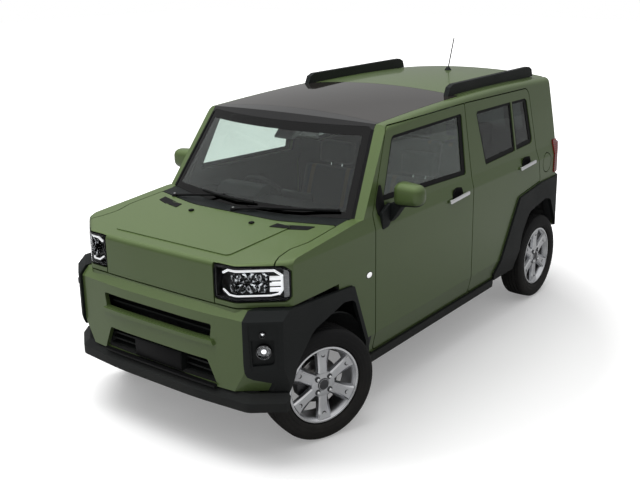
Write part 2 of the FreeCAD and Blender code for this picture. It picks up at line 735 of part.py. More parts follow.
tail_cover = skin.common(block(-FAR, FAR, 1560, 1800, 330, 552)).cut(rear_trim).cut(mirrored(rear_trim))
for x in (-105, 105):
    tail_cover = tail_cover.cut(Part.makeCylinder(3.5, 80, Vector(x, 1640, 480), Vector(0, 1, 0)))
formed("rear_bumper", largest(tail_cover))
tail_lamp = form(-8.0, 0, 0, 0, -8.0).cut(form(40.0, 0, 0, 0, 50.0)).common(block(628, FAR, 1517, 1800, 876, 1108))
tail_lamp = largest(tail_lamp)
formed("tail_lamps", Part.makeCompound([tail_lamp, mirrored(tail_lamp)]))
REAR_WINDOW = [(-540, 1120, 40), (540, 1120, 40), (500, 1490, 50), (-500, 1490, 50)]
rear_window = prism(REAR_WINDOW, "y", 1500, 1800)
gate = shell.common(prism(TAILGATE, "y", 1470, 1800)).common(block(-FAR, FAR, 1563, 1800, 500, 1600))
formed("tailgate", largest(gate.cut(rear_window)))
formed("tailgate_glass", largest(pane.common(rear_window)))

# Roof rails, mirrors and antenna

rail = largest(prism([
    (257, 1560), (285, 1616, 12), (330, 1632, 30), (1400, 1632, 30), (1445, 1612, 12), (1464, 1560)],
    "x", 520, 552).cut(outer))
formed("roof_rails", Part.makeCompound([rail, mirrored(rail)]))
cap = prism([(-662, 1118, 22), (-668, 1216, 36), (-630, 1244, 30), (-560, 1238, 26), (-548, 1128, 22), (-580, 1104, 16)],
            "x", 742, 912)
cap = cap.common(prism([(742, -700), (742, -520), (850, -532, 60), (914, -580, 40), (914, -664, 30), (860, -700)],
                       "z", 1000, 1300))
stalk = prism([(-716, 990, 12), (-722, 1090), (-640, 1130), (-560, 1130), (-596, 1060, 30), (-640, 996, 20)],
              "x", 690, 790)
stalk = stalk.common(prism([(690, 960), (716, 975), (790, 1090), (790, 1140), (690, 1140)], "y", -740, -540))
mirror = largest(cap.fuse(stalk).removeSplitter().cut(outer))
for name, side in SIDES:
    formed("mirror_%s" % name, on_side(mirror, side))
foot = Part.makeCone(30, 12, 30, Vector(0, 1230, 1585))
formed("antenna", largest(foot.fuse(rod(4, (0, 1230, 1600), (0, 1309, 1815))).cut(outer)))

# Floor, bulkhead and what hangs under them

FLOOR = [
    (-792, d.floor_low), (-792, 590), (-888, 686), (-888, 1000), (-870, 1000), (-870, 692), (-774, 596),
    (-774, d.floor_low + 18), (884, d.floor_low + 18), (996, 440), (1600, 440), (1600, 420), (1008, 420),
    (896, d.floor_low),
]
floor_pan = started("floor_pan")
pulled_out(floor_pan, "YZ_Plane", FLOOR, d.floor_half * 2, -d.floor_half)
for x in (500, -700):
    cut = floor_pan.newObject("PartDesign::Pocket", "wheel_space")
    cut.Profile = sketched(floor_pan, "YZ_Plane", [(930, 200), (1700, 200), (1700, 800), (930, 800)], x)
    cut.Reversed = True
    cut.Length = 200
for x in (520, -580):
    for y in (-640, 500):
        foot = [(x, y), (x + 60, y), (x + 60, y + 90), (x, y + 90)]
        pulled_out(floor_pan, "XY_Plane", foot, 20, d.floor_low - 12)
keep(floor_pan, "floor_pan")
keep(box(-560, -1556, 300, 1120, 20, 526), "radiator_panel")
keep(box(-230, -1420, 280, 480, 420, 480), "engine_block")
arms = []
for side in (LEFT, RIGHT):
    arms.append(bar(18, (280 * side, -1150, 228), (546 * side, -1171, 216)))
    arms.append(bar(15, (290 * side, -1010, 230), (534 * side, -1155, 218)))
    arms.append(box(304 * side - 20, -1196, 209, 40, 436, 53))
united("front_subframe", [box(-330, -1190, 205, 660, 80, 45)] + arms)
arms = []
for side in (LEFT, RIGHT):
    arms.append(bar(45, (540 * side, REAR_AXLE, d.hub_height), (562 * side, REAR_AXLE, d.hub_height)))
    arms.append(bar(20, (420 * side, REAR_AXLE, 290), (420 * side, 860, 234)))
    arms.append(bar(45, (420 * side, REAR_AXLE + 10, 300), (420 * side, REAR_AXLE + 10, 418)))
united("rear_axle", [bar(28, (-545, REAR_AXLE, d.hub_height), (545, REAR_AXLE, d.hub_height))] + arms)
united("exhaust", [
    bar(24, (120, -980, 232), (120, 900, 232)), bar(23, (119, 884, 232), (300, 1080, 240)),
    bar(22, (300, 1064, 240), (300, 1440, 240)), box(180, 1430, 226, 240, 170, 130), bar(20, (380, 1590, 262), (380, 1688, 256)),
])
tank = started("fuel_tank")
pulled_out(tank, "YZ_Plane", [(420, 260), (420, 232), (440, 214), (842, 214), (866, 240), (866, 260)], 420, -360)
keep(tank, "fuel_tank")

# Liners over the wheels


def liner(low, high, y, foot):
    """Half a drum over the left wheel, closed towards the middle of the car."""
    drum = Part.makeCylinder(d.liner_radius, high - low, Vector(low, y, d.hub_height), Vector(1, 0, 0))
    room = Part.makeCylinder(d.liner_radius - 6, high - low, Vector(low + 6, y, d.hub_height), Vector(1, 0, 0))
    return drum.cut(room).cut(block(low - 1, high + 1, y - 400, y + 400, -100, foot))


tower = Part.makeCylinder(84, 300, Vector(d.kingpin, d.front_axle, 500))
front_liner = largest(liner(370, 690, d.front_axle, 334).cut(tower).common(thin))
formed("arch_liners_front", Part.makeCompound([front_liner, mirrored(front_liner)]))
rear_liner = largest(liner(503, 661, REAR_AXLE, 356).common(cabin))
formed("arch_liners_rear", Part.makeCompound([rear_liner, mirrored(rear_liner)]))

# Seats, dashboard and steering wheel


def seat_outline(front):
    """A seat seen from the side: cushion, backrest and head restraint."""
    return [
        (front, 560), (front, 440), (front + 430, 404), (front + 560, 436), (front + 670, 1010), (front + 700, 1180),
        (front + 632, 1190), (front + 580, 1020), (front + 432, 600),
    ]


def seat(label, front, lift, width, low):
    """A seat on its rails, its edges across the car rounded."""
    body = started(label)
    outline_points = [(y, z + lift) for y, z in seat_outline(front)]
    step = pulled_out(body, "YZ_Plane", outline_points, width, low)
    softened(body, step, 22, across)
    return body


left_seat = seat("seat", -330, 0, d.seat_width, 90)
rails = [box(120, -270, 280, 40, 400, 150), box(490, -270, 280, 40, 400, 150)]
driver = doc.addObject("Part::MultiFuse", "driver_seat")
driver.Shapes = [left_seat] + rails
driver.Refine = True
paired("front_seats", driver)
bench = seat("bench", 560, 56, d.bench_width, -d.bench_width / 2)
united("rear_seat", [bench, box(-440, 620, 280, 40, 230, 230), box(400, 620, 280, 40, 230, 230)])
dash = started("dashboard")
DASH = [
    (-860, 730), (-864, 980), (-850, 1018), (-800, 1026), (-580, 1030), (-540, 1000), (-530, 950), (-560, 800),
    (-620, 760), (-700, 712),
]
step = pulled_out(dash, "YZ_Plane", DASH, 1260, -630)
keep(dash, "dashboard")


def ring_section(radius, thick):
    """The eight-sided section of a ring."""
    return [(radius + thick * math.cos(math.radians(a)), thick * math.sin(math.radians(a)))
            for a in (22.5, 67.5, 112.5, 157.5, 202.5, 247.5, 292.5, 337.5)]


wheel = started("steering_wheel")
turned_out(wheel, [(0, -135), (20, -135), (20, -30), (48, -26), (48, 6), (40, 14), (0, 14)], "Z_Axis")
turned_out(wheel, ring_section(d.wheel_rim, 15), "Z_Axis")
spokes = [(-172, -20), (-14, -30), (-14, -172), (14, -172), (14, -30), (172, -20), (172, 14), (-172, 14)]
pulled_out(wheel, "XY_Plane", spokes, 12, -10)
wheel_turn = Rotation(Vector(0, 0, 1), Vector(0, 0.84, 0.54))
keep(placed(wheel, -340, -395, 940, wheel_turn), "steering_wheel")

# Tyres, rims with their brake discs, and knuckles

HALF = d.tyre_half
TREAD = d.tyre_radius
FLANGE = d.rim_radius
TYRE = [
    (-HALF + 28, FLANGE - 11), (-HALF + 23, FLANGE + 3), (-HALF + 10, FLANGE + 4), (-HALF, TREAD - 54),
    (-HALF + 5, TREAD - 14), (-HALF + 22, TREAD), (HALF - 22, TREAD), (HALF - 5, TREAD - 14),
    (HALF, TREAD - 54), (HALF - 10, FLANGE + 4), (HALF - 23, FLANGE + 3), (HALF - 28, FLANGE - 11),
]
RIM = [
    (56, 0), (56, 58), (48, 66), (55, 150), (66, 188), (HALF - 14, 195), (HALF - 14, FLANGE), (HALF - 22, FLANGE),
    (HALF - 27, FLANGE - 12), (-HALF + 27, FLANGE - 12), (-HALF + 22, FLANGE), (-HALF + 14, FLANGE),
    (-HALF + 14, 195), (-HALF + 30, 180), (18, 176), (38, 170), (36, 120), (30, 72), (-2, 72), (-2, 118),
    (-12, 118), (-12, 0),
]
WINDOW = [(76, 14), (158, 54), (172, 46), (172, -46), (158, -54), (76, -14)]
KNUCKLE = [(-22, -56), (30, -56), (30, 40), (10, 90), (-22, 90)]


def wheel_place(thing, place, side):
    """A wheel's part, drawn with its face towards +X, put on its axle end."""
    facing = 0 if side == LEFT else 180
    if place == "rear":
        return placed(thing, d.wheel_plane * side, REAR_AXLE, d.hub_height, Rotation(Vector(0, 0, 1), facing))
    reach = d.wheel_plane - d.kingpin
    angle = math.radians(-d.steered)
    x = d.kingpin * side + reach * side * math.cos(angle)
    y = d.front_axle + reach * side * math.sin(angle)
    return placed(thing, float(x), float(y), d.hub_height, Rotation(Vector(0, 0, 1), facing - d.steered))


for name, side in SIDES:
    for place in ("front", "rear"):
        tyre = started("tyre_%s_%s" % (place, name))
        turned_out(tyre, TYRE, "X_Axis")
        keep(wheel_place(tyre, place, side), "tyre_%s_%s" % (place, name))
        rim = started("rim_%s_%s" % (place, name))
        turned_out(rim, RIM, "X_Axis")
        window = rim.newObject("PartDesign::Pocket", "window")
        window.Profile = sketched(rim, "YZ_Plane", WINDOW, 24)
        window.Reversed = True
        window.Length = 60
        ring = rim.newObject("PartDesign::PolarPattern", "windows")
        ring.Originals = [window]
        ring.Axis = (datum(rim, "X_Axis"), [""])
        ring.Angle = 360
        ring.Occurrences = 6
        rim.Tip = ring
        keep(wheel_place(rim, place, side), "rim_%s_%s" % (place, name))
    knuckle = started("upright")
    pulled_out(knuckle, "XZ_Plane", KNUCKLE, 76, -38)
    strut = [bar(42, (8, 0, 0), (54, 0, 0)), bar(24, (-38, 0, 60), (-36, 0, 330)), bar(44, (-34, 0, 316), (-32, 0, 450))]
    whole = united("knuckle_%s" % name, [knuckle] + strut)
    facing = 0 if side == LEFT else 180
    placed(whole, d.kingpin * side, d.front_axle, d.hub_height, Rotation(Vector(0, 0, 1), facing - d.steered))

doc.recompute()

# Write every sub-part

os.makedirs("parts", exist_ok=True)
for thing in doc.Objects:
    if "Invalid" in thing.State or "Error" in thing.State:
        raise RuntimeError("%s did not build: %s" % (thing.Label, thing.State))
for piece in pieces:
    if piece.Shape.isNull() or not piece.Shape.isValid():
        raise RuntimeError("%s has no valid shape" % piece.Label)
for piece in pieces:
    piece.Shape.exportStep("parts/%s.step" % piece.Label)
    print("%-24s %2d solids %9.1f cm3" % (piece.Label, len(piece.Shape.Solids), piece.Shape.Volume / 1000))
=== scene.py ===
import json
import math
from functools import partial

import bmesh
import bpy
from bpy.props import FloatProperty, FloatVectorProperty, IntProperty, PointerProperty
from mathutils import Matrix, Vector


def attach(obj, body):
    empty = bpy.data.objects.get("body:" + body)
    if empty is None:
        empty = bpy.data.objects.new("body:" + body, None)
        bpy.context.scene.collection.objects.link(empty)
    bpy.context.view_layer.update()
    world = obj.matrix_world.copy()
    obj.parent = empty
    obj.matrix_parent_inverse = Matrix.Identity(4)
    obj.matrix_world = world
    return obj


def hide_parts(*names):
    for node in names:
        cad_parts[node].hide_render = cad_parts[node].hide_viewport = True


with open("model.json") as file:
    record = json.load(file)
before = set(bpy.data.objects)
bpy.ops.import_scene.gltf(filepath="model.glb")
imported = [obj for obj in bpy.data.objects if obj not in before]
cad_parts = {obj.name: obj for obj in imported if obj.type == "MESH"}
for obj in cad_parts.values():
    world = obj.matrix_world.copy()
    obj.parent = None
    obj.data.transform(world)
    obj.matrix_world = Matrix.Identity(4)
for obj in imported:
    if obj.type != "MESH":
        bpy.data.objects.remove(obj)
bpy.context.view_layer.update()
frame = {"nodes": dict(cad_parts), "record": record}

bl_info = {
    "name": "Small tall wagon",
    "version": (1, 0, 0),
    "blender": (4, 5, 0),
    "location": "View3D > Sidebar > Wagon",
    "description": "Dresses the packed wagon with paint, glass, rubber and lamps, and sets its studio",
    "category": "Object",
}

NODES = frame["nodes"]
SIDES = (("left", 1), ("right", -1))
ENDS = ("front", "rear")
MM = 0.001
RIGHT_ANGLE = math.pi / 2
FULL_TURN = 2 * math.pi


# Settings

class FinishSettings(bpy.types.PropertyGroup):
    paint: FloatVectorProperty(
        name="Paint", description="Olive green of the painted panels",
        subtype="COLOR", size=4, default=(0.106, 0.158, 0.052, 1.0))
    plastic: FloatVectorProperty(
        name="Cladding", description="Grained black plastic of the claddings",
        subtype="COLOR", size=4, default=(0.0085, 0.0105, 0.0105, 1.0))
    tint: FloatVectorProperty(
        name="Window tint", description="Green tint of the front side windows",
        subtype="COLOR", size=4, default=(0.50, 0.57, 0.53, 1.0))
    privacy: FloatVectorProperty(
        name="Privacy tint", description="Dark tint of the rear side windows and the tailgate's",
        subtype="COLOR", size=4, default=(0.10, 0.115, 0.11, 1.0))
    roof_tint: FloatVectorProperty(
        name="Roof tint", description="Dark brown tint of the roof glass",
        subtype="COLOR", size=4, default=(0.020, 0.017, 0.015, 1.0))
    alloy: FloatVectorProperty(
        name="Rims", description="Silver of the rims",
        subtype="COLOR", size=4, default=(0.74, 0.75, 0.77, 1.0))
    cloth: FloatVectorProperty(
        name="Seat cloth", description="Dark grey of the woven seats",
        subtype="COLOR", size=4, default=(0.055, 0.056, 0.06, 1.0))


class PieceSettings(bpy.types.PropertyGroup):
    tread_blocks: IntProperty(name="Tread blocks", description="Blocks round each rib of a tyre", default=84)
    seal: FloatProperty(name="Window seal", description="Width of the black edge round a side window",
                        default=0.018, unit="LENGTH")
    frit: FloatProperty(name="Windscreen edge", description="Width of the windscreen's black edge",
                        default=0.034, unit="LENGTH")


class StudioSettings(bpy.types.PropertyGroup):
    azimuth: FloatProperty(name="Azimuth", description="Camera's angle round the car",
                           default=math.radians(36.41), subtype="ANGLE")
    elevation: FloatProperty(name="Elevation", description="Camera's angle above the horizon",
                             default=math.radians(15.155), subtype="ANGLE")
    roll: FloatProperty(name="Roll", description="Camera's tilt about its own axis",
                        default=math.radians(-0.662), subtype="ANGLE")
    place: FloatVectorProperty(name="Place", description="Where the camera stands",
                               size=3, default=(3.2477, -4.5188, 2.3707), unit="LENGTH")
    focal: FloatProperty(name="Focal length", default=50.82,
                         description="Focal length in millimetres on a 36 mm wide sensor")
    shift_x: FloatProperty(name="Shift X", description="Sideways shift of the lens", default=-0.0297)
    shift_y: FloatProperty(name="Shift Y", description="Upward shift of the lens", default=-0.0555)
    key: FloatProperty(name="Key light", description="Power of the large light overhead", default=310.0)
    fill: FloatProperty(name="Fill light", description="Power of the light in front", default=20.0)
    above: FloatProperty(name="Light from above", description="How much more the sky lights from above",
                         default=0.75)
    around: FloatProperty(name="Light around", description="Strength of the sky near the horizon",
                          default=0.08)


def settings():
    """The settings of the scene."""
    scene = bpy.context.scene
    return scene.wagon_finish, scene.wagon_pieces, scene.wagon_studio


# Nodes of a shader

GROUPS = {}


def math_node(tree, operation, first, second=None, third=None):
    """One sum of sockets or numbers, and its result."""
    node = tree.nodes.new("ShaderNodeMath")
    node.operation = operation
    for slot, value in enumerate((first, second, third)):
        if value is None:
            continue
        if isinstance(value, bpy.types.NodeSocket):
            tree.links.new(value, node.inputs[slot])
        else:
            node.inputs[slot].default_value = value
    return node.outputs[0]


def texture(tree, kind, place, **values):
    """A texture that reads a place, with values for its other sockets."""
    node = tree.nodes.new("ShaderNodeTex" + kind)
    tree.links.new(place, node.inputs["Vector"])
    for socket, value in values.items():
        node.inputs[socket].default_value = value
    return node


def axes(tree, place):
    """A place's X, Y and Z."""
    split = tree.nodes.new("ShaderNodeSeparateXYZ")
    tree.links.new(place, split.inputs[0])
    return split.outputs


def new_group(name, numbers, results):
    """An empty node group that reads a place and numbers and gives numbers, and its two ends."""
    tree = bpy.data.node_groups.new(name, "ShaderNodeTree")
    tree.interface.new_socket(name="Place", in_out="INPUT", socket_type="NodeSocketVector")
    for title, value in numbers.items():
        socket = tree.interface.new_socket(name=title, in_out="INPUT", socket_type="NodeSocketFloat")
        socket.default_value = value
    for title in results:
        tree.interface.new_socket(name=title, in_out="OUTPUT", socket_type="NodeSocketFloat")
    return tree, tree.nodes.new("NodeGroupInput"), tree.nodes.new("NodeGroupOutput")


def close_group(key, tree, end, **results):
    """Lead a group's results out of it and keep the group."""
    for socket, source in results.items():
        tree.links.new(source, end.inputs[socket])
    GROUPS[key] = tree


def varied(tree, pattern, start):
    """A shade about 1 that follows a pattern from 0 to 1, as far as the group's spread lets it."""
    centred = math_node(tree, "SUBTRACT", pattern, 0.5)
    return math_node(tree, "MULTIPLY_ADD", centred, start.outputs["Spread"], 1.0)


def make_grain():
    """Moulded grain: a height, and a slow change of shade."""
    tree, start, end = new_group("moulded grain", {"Scale": 900.0, "Spread": 0.2}, ("Height", "Shade"))
    cells = texture(tree, "Voronoi", start.outputs["Place"])
    cells.feature = "SMOOTH_F1"
    tree.links.new(start.outputs["Scale"], cells.inputs["Scale"])
    slow = texture(tree, "Noise", start.outputs["Place"], Scale=5.0, Detail=4.0)
    close_group("grain", tree, end, Height=cells.outputs["Distance"],
                Shade=varied(tree, slow.outputs["Fac"], start))


def make_flakes():
    """Metal flakes in paint: each flake its own shade, under a faint orange peel."""
    tree, start, end = new_group("paint flakes", {"Spread": 0.25}, ("Height", "Shade"))
    flakes = texture(tree, "Voronoi", start.outputs["Place"], Scale=1400.0)
    peel = texture(tree, "Noise", start.outputs["Place"], Scale=260.0)
    split = tree.nodes.new("ShaderNodeSeparateColor")
    tree.links.new(flakes.outputs["Color"], split.inputs[0])
    close_group("flakes", tree, end, Height=peel.outputs["Fac"], Shade=varied(tree, split.outputs[0], start))


def make_weave():
    """A plain weave: two sets of threads over and under each other, with painted shade where the threads dip
    and painted light where they rise.
    """
    weave_painted_shade = 0.22
    tree, start, end = new_group("weave", {"Threads": 260.0}, ("Height", "Shade"))
    calc = partial(math_node, tree)
    x, y, z = axes(tree, start.outputs["Place"])
    waves = []
    for source in (x, calc("ADD", y, z)):
        turn = calc("MULTIPLY", source, start.outputs["Threads"])
        waves.append(calc("SINE", calc("MULTIPLY", turn, FULL_TURN)))
    height = calc("MULTIPLY", waves[0], waves[1])
    # The shade follows the height: painted shade in the weave's hollows, painted light on its raised threads.
    close_group("weave", tree, end, Height=height, Shade=calc("MULTIPLY_ADD", height, weave_painted_shade, 1.0))


def make_dust():
    """Road dust that thins out with height."""
    steepness = 3.0
    tree, start, end = new_group("road dust", {"Top": 0.45, "Most": 0.25}, ("Mask",))
    calc = partial(math_node, tree)
    cloud = texture(tree, "Noise", start.outputs["Place"], Scale=14.0, Detail=6.0)
    low = calc("SUBTRACT", start.outputs["Top"], axes(tree, start.outputs["Place"])[2])
    low = calc("MULTIPLY", calc("MAXIMUM", low, 0.0), steepness)
    patch = calc("MULTIPLY", calc("MINIMUM", low, 1.0), cloud.outputs["Fac"])
    close_group("dust", tree, end, Mask=calc("MULTIPLY", patch, start.outputs["Most"]))


# The inner side of the body's panels, in metres, as the source has it

SIDE_LEANS_FROM = 1.04
SIDE_LEAN = 0.142
SIDE_INSIDE = 0.669
ROOF_MIDDLE = 0.7
ROOF_BOW_ALONG = 0.0258
ROOF_BOW_ACROSS = 0.1
ROOF_INSIDE = 1.568
TAIL_BOW = 0.118
TAIL_LEANS = ((0.98, 0.12), (1.42, 0.17))
TAIL_INSIDE = 1.648
BULKHEAD = -0.86
SCREEN_AXIS = 0.9
SCREEN_LEAN = 0.696
SCREEN_INSIDE = 2.634

# The wheel arches inside the wings and quarters, in metres

ARCH_TOP = 0.79
ARCH_FROM = 0.6
ARCH_TO = 0.7195
FRONT_ARCH = -1.163
FRONT_ARCH_HALF = 0.35
REAR_ARCH_FROM = 0.88
BEVEL_ALONG = 0.737
BEVEL_ACROSS = 0.677
BEVEL_REACH = 1.628


def make_cabin_mask():
    """1 on surfaces that face the cabin or a wheel, 0 on the outer skin, from where they are on the car."""
    tree, start, end = new_group("cabin side", {}, ("Mask",))
    calc = partial(math_node, tree)
    x, y, z = axes(tree, start.outputs["Place"])
    square = calc("MULTIPLY", x, x)

    def above(level):
        return calc("MAXIMUM", calc("SUBTRACT", z, level), 0.0)

    side = calc("MULTIPLY_ADD", above(SIDE_LEANS_FROM), SIDE_LEAN, calc("ABSOLUTE", x))
    along = calc("SUBTRACT", y, ROOF_MIDDLE)
    top = calc("MULTIPLY_ADD", square, ROOF_BOW_ACROSS, z)
    top = calc("MULTIPLY_ADD", calc("MULTIPLY", along, along), ROOF_BOW_ALONG, top)
    back = calc("MULTIPLY_ADD", square, TAIL_BOW, y)
    for level, lean in TAIL_LEANS:
        back = calc("MULTIPLY_ADD", above(level), lean, back)
    ahead = calc("SUBTRACT", SCREEN_AXIS, y)
    screen = calc("SQRT", calc("MULTIPLY_ADD", ahead, ahead, square))
    screen = calc("MULTIPLY_ADD", z, SCREEN_LEAN, screen)
    cabin = calc("GREATER_THAN", y, BULKHEAD)
    for reach, limit in ((side, SIDE_INSIDE), (top, ROOF_INSIDE), (back, TAIL_INSIDE),
                         (screen, SCREEN_INSIDE)):
        cabin = calc("MULTIPLY", cabin, calc("LESS_THAN", reach, limit))
    bevel = calc("MULTIPLY_ADD", y, BEVEL_ALONG, calc("MULTIPLY", side, BEVEL_ACROSS))
    near = calc("LESS_THAN", calc("ABSOLUTE", calc("SUBTRACT", y, FRONT_ARCH)), FRONT_ARCH_HALF)
    arch = calc("MAXIMUM", near, calc("GREATER_THAN", y, REAR_ARCH_FROM))
    arch = calc("MULTIPLY", arch, calc("GREATER_THAN", side, ARCH_FROM))
    for reach, limit in ((z, ARCH_TOP), (side, ARCH_TO), (bevel, BEVEL_REACH)):
        arch = calc("MULTIPLY", arch, calc("LESS_THAN", reach, limit))
    close_group("cabin", tree, end, Mask=calc("MAXIMUM", cabin, arch))


# Materials

MATERIALS = {}
DUST_ON_PAINT = (0.16, 0.14, 0.11, 1)
DUST_ON_PLASTIC = (0.15, 0.135, 0.11, 1)
INNER_TRIM = (0.03, 0.031, 0.033, 1)
PRINTED_EDGE = (0.002, 0.002, 0.002, 1)


class Finish:
    """A material being made: its shader, and the sockets that its patterns start from."""

    def __init__(self, name, colour, roughness, metallic=0.0, **sockets):
        self.material = bpy.data.materials.new(name)
        self.material.use_nodes = True
        self.tree = self.material.node_tree
        self.calc = partial(math_node, self.tree)
        self.shader = self.tree.nodes["Principled BSDF"]
        self.colour = colour
        self.shader.inputs["Base Color"].default_value = colour
        self.shader.inputs["Roughness"].default_value = roughness
        self.shader.inputs["Metallic"].default_value = metallic
        for socket, value in sockets.items():
            self.shader.inputs[socket.replace("_", " ")].default_value = value
        self.place = self.tree.nodes.new("ShaderNodeTexCoord").outputs["Object"]
        self.material.diffuse_color = colour

    def use(self, group, **values):
        """Place a node group that reads the object's coordinates."""
        node = self.tree.nodes.new("ShaderNodeGroup")
        node.node_tree = GROUPS[group]
        self.tree.links.new(self.place, node.inputs["Place"])
        for socket, value in values.items():
            node.inputs[socket].default_value = value
        return node

    def shaded(self, shade):
        """The plain colour times a shade that changes over the surface."""
        mix = self.tree.nodes.new("ShaderNodeMix")
        mix.data_type = "RGBA"
        mix.blend_type = "MULTIPLY"
        mix.inputs[0].default_value = 1.0
        mix.inputs[6].default_value = self.colour
        self.tree.links.new(shade, mix.inputs[7])
        return mix.outputs[2]

    def blended(self, mask, first, second):
        """Two colours or sockets, mixed by a mask."""
        mix = self.tree.nodes.new("ShaderNodeMix")
        mix.data_type = "RGBA"
        self.tree.links.new(mask, mix.inputs[0])
        for slot, value in ((6, first), (7, second)):
            if isinstance(value, bpy.types.NodeSocket):
                self.tree.links.new(value, mix.inputs[slot])
            else:
                mix.inputs[slot].default_value = value
        return mix.outputs[2]

    def mixed(self, mask, first, second):
        """Two numbers, mixed by a mask."""
        return self.calc("MULTIPLY_ADD", mask, second - first, first)

    def feed(self, socket, source):
        """Lead a result to the shader."""
        self.tree.links.new(source, self.shader.inputs[socket])

    def bump(self, height, distance):
        """Raise the surface by a height."""
        node = self.tree.nodes.new("ShaderNodeBump")
        node.inputs["Strength"].default_value = 1.0
        node.inputs["Distance"].default_value = distance
        self.tree.links.new(height, node.inputs["Height"])
        self.feed("Normal", node.outputs["Normal"])


def painted(name, colour):
    """Metallic paint outside, moulded trim on the side that faces the cabin, dust near the road."""
    gloss, dull, flaky, coat = 0.36, 0.62, 0.3, 0.5
    finish = Finish(name, colour, gloss, flaky, Coat_Weight=coat, Coat_Roughness=0.08)
    flakes = finish.use("flakes", Spread=0.3)
    cabin = finish.use("cabin").outputs["Mask"]
    dust = finish.use("dust", Top=0.42, Most=0.1).outputs["Mask"]
    skin = finish.blended(dust, finish.shaded(flakes.outputs["Shade"]), DUST_ON_PAINT)
    finish.feed("Base Color", finish.blended(cabin, skin, INNER_TRIM))
    finish.feed("Roughness", finish.mixed(cabin, gloss, dull))
    outside = finish.calc("SUBTRACT", 1.0, cabin)
    finish.feed("Metallic", finish.calc("MULTIPLY", outside, flaky))
    finish.feed("Coat Weight", finish.calc("MULTIPLY", outside, coat))
    finish.bump(flakes.outputs["Height"], 0.00006)
    return finish.material


def moulded(name, colour, roughness, scale=900.0, depth=0.0003, dusty=0.0, **sockets):
    """Grained plastic."""
    finish = Finish(name, colour, roughness, **sockets)
    grain = finish.use("grain", Scale=scale, Spread=0.35)
    base = finish.shaded(grain.outputs["Shade"])
    if dusty:
        dust = finish.use("dust", Top=0.5, Most=dusty)
        base = finish.blended(dust.outputs["Mask"], base, DUST_ON_PLASTIC)
    finish.feed("Base Color", base)
    finish.feed("Roughness", finish.calc("MULTIPLY", grain.outputs["Shade"], roughness))
    finish.bump(grain.outputs["Height"], depth)
    return finish.material


def metal(name, colour, roughness, scale=120.0):
    """Metal with a faint change of gloss."""
    finish = Finish(name, colour, roughness, 1.0)
    grain = finish.use("grain", Scale=scale, Spread=0.3)
    finish.feed("Base Color", finish.shaded(grain.outputs["Shade"]))
    finish.feed("Roughness", finish.calc("MULTIPLY", grain.outputs["Shade"], roughness))
    return finish.material


def glazed(name, colour, roughness=0.02, ior=1.45):
    """Tinted glass, a touch uneven in its tint."""
    finish = Finish(name, colour, roughness, Transmission_Weight=1.0, IOR=ior)
    grain = finish.use("grain", Scale=40.0, Spread=0.12)
    finish.feed("Base Color", finish.shaded(grain.outputs["Shade"]))
    return finish


def woven(name, colour):
    """Seat cloth, its colour darkened by painted shade where the weave dips."""
    finish = Finish(name, colour, 0.92, Sheen_Weight=0.35, Sheen_Roughness=0.5)
    weave = finish.use("weave", Threads=330.0)
    grain = finish.use("grain", Scale=60.0, Spread=0.3)
    # The weave's shade is painted shade in its hollows; the grain's is a random tone.
    shade = finish.calc("MULTIPLY", weave.outputs["Shade"], grain.outputs["Shade"])
    finish.feed("Base Color", finish.shaded(shade))
    finish.bump(weave.outputs["Height"], 0.0004)
    return finish.material


def edged_glass(name, colour, edges):
    """Glass with a black printed edge, wherever one of the edges' sums is above zero."""
    finish = glazed(name, colour)
    x, _, z = axes(finish.tree, finish.place)
    side = finish.calc("ABSOLUTE", x)
    mask = None
    for across, up, limit in edges:
        reach = finish.calc("MULTIPLY_ADD", z, up, finish.calc("MULTIPLY", side, across))
        beyond = finish.calc("GREATER_THAN", reach, limit)
        mask = beyond if mask is None else finish.calc("MAXIMUM", mask, beyond)
    finish.feed("Base Color", finish.blended(mask, colour, PRINTED_EDGE))
    return finish.material


def banded_lamp(name, colour, band):
    """A lamp cover with level bands inside it."""
    clear, ribbed = 0.1, 0.3
    finish = Finish(name, colour, 0.12, Coat_Weight=1.0, Coat_Roughness=0.03, IOR=1.5)
    wave = texture(finish.tree, "Wave", finish.place, Scale=22.0)
    wave.bands_direction = "Z"
    sharp = finish.calc("POWER", wave.outputs["Fac"], 3.0)
    finish.feed("Base Color", finish.blended(sharp, colour, band))
    finish.feed("Roughness", finish.mixed(sharp, clear, ribbed))
    return finish.material


# The windscreen's and the tailgate glass's openings, in metres: half width at a height, lean, top, foot

SCREEN_OPENING = (0.6417, 1.06, 0.172, 1.497, 1.075)
SCREEN_EDGE_ABOVE = 0.03
SCREEN_EDGE_BELOW = 0.035
REAR_OPENING = (0.534, 1.12, 0.108, 1.46, 1.15)
REAR_EDGE_BESIDE = 0.03


def screen_edges(frit):
    """The sums that are above zero on the windscreen's printed edge."""
    half, level, lean, top, foot = SCREEN_OPENING
    beside = (1.0, lean, half + level * lean - frit)
    return beside, (0.0, 1.0, top - SCREEN_EDGE_ABOVE), (0.0, -1.0, -foot - SCREEN_EDGE_BELOW)


def rear_edges():
    """The sums that are above zero on the tailgate glass's printed edge."""
    half, level, lean, top, foot = REAR_OPENING
    return (1.0, lean, half + level * lean - REAR_EDGE_BESIDE), (0.0, 1.0, top), (0.0, -1.0, -foot)


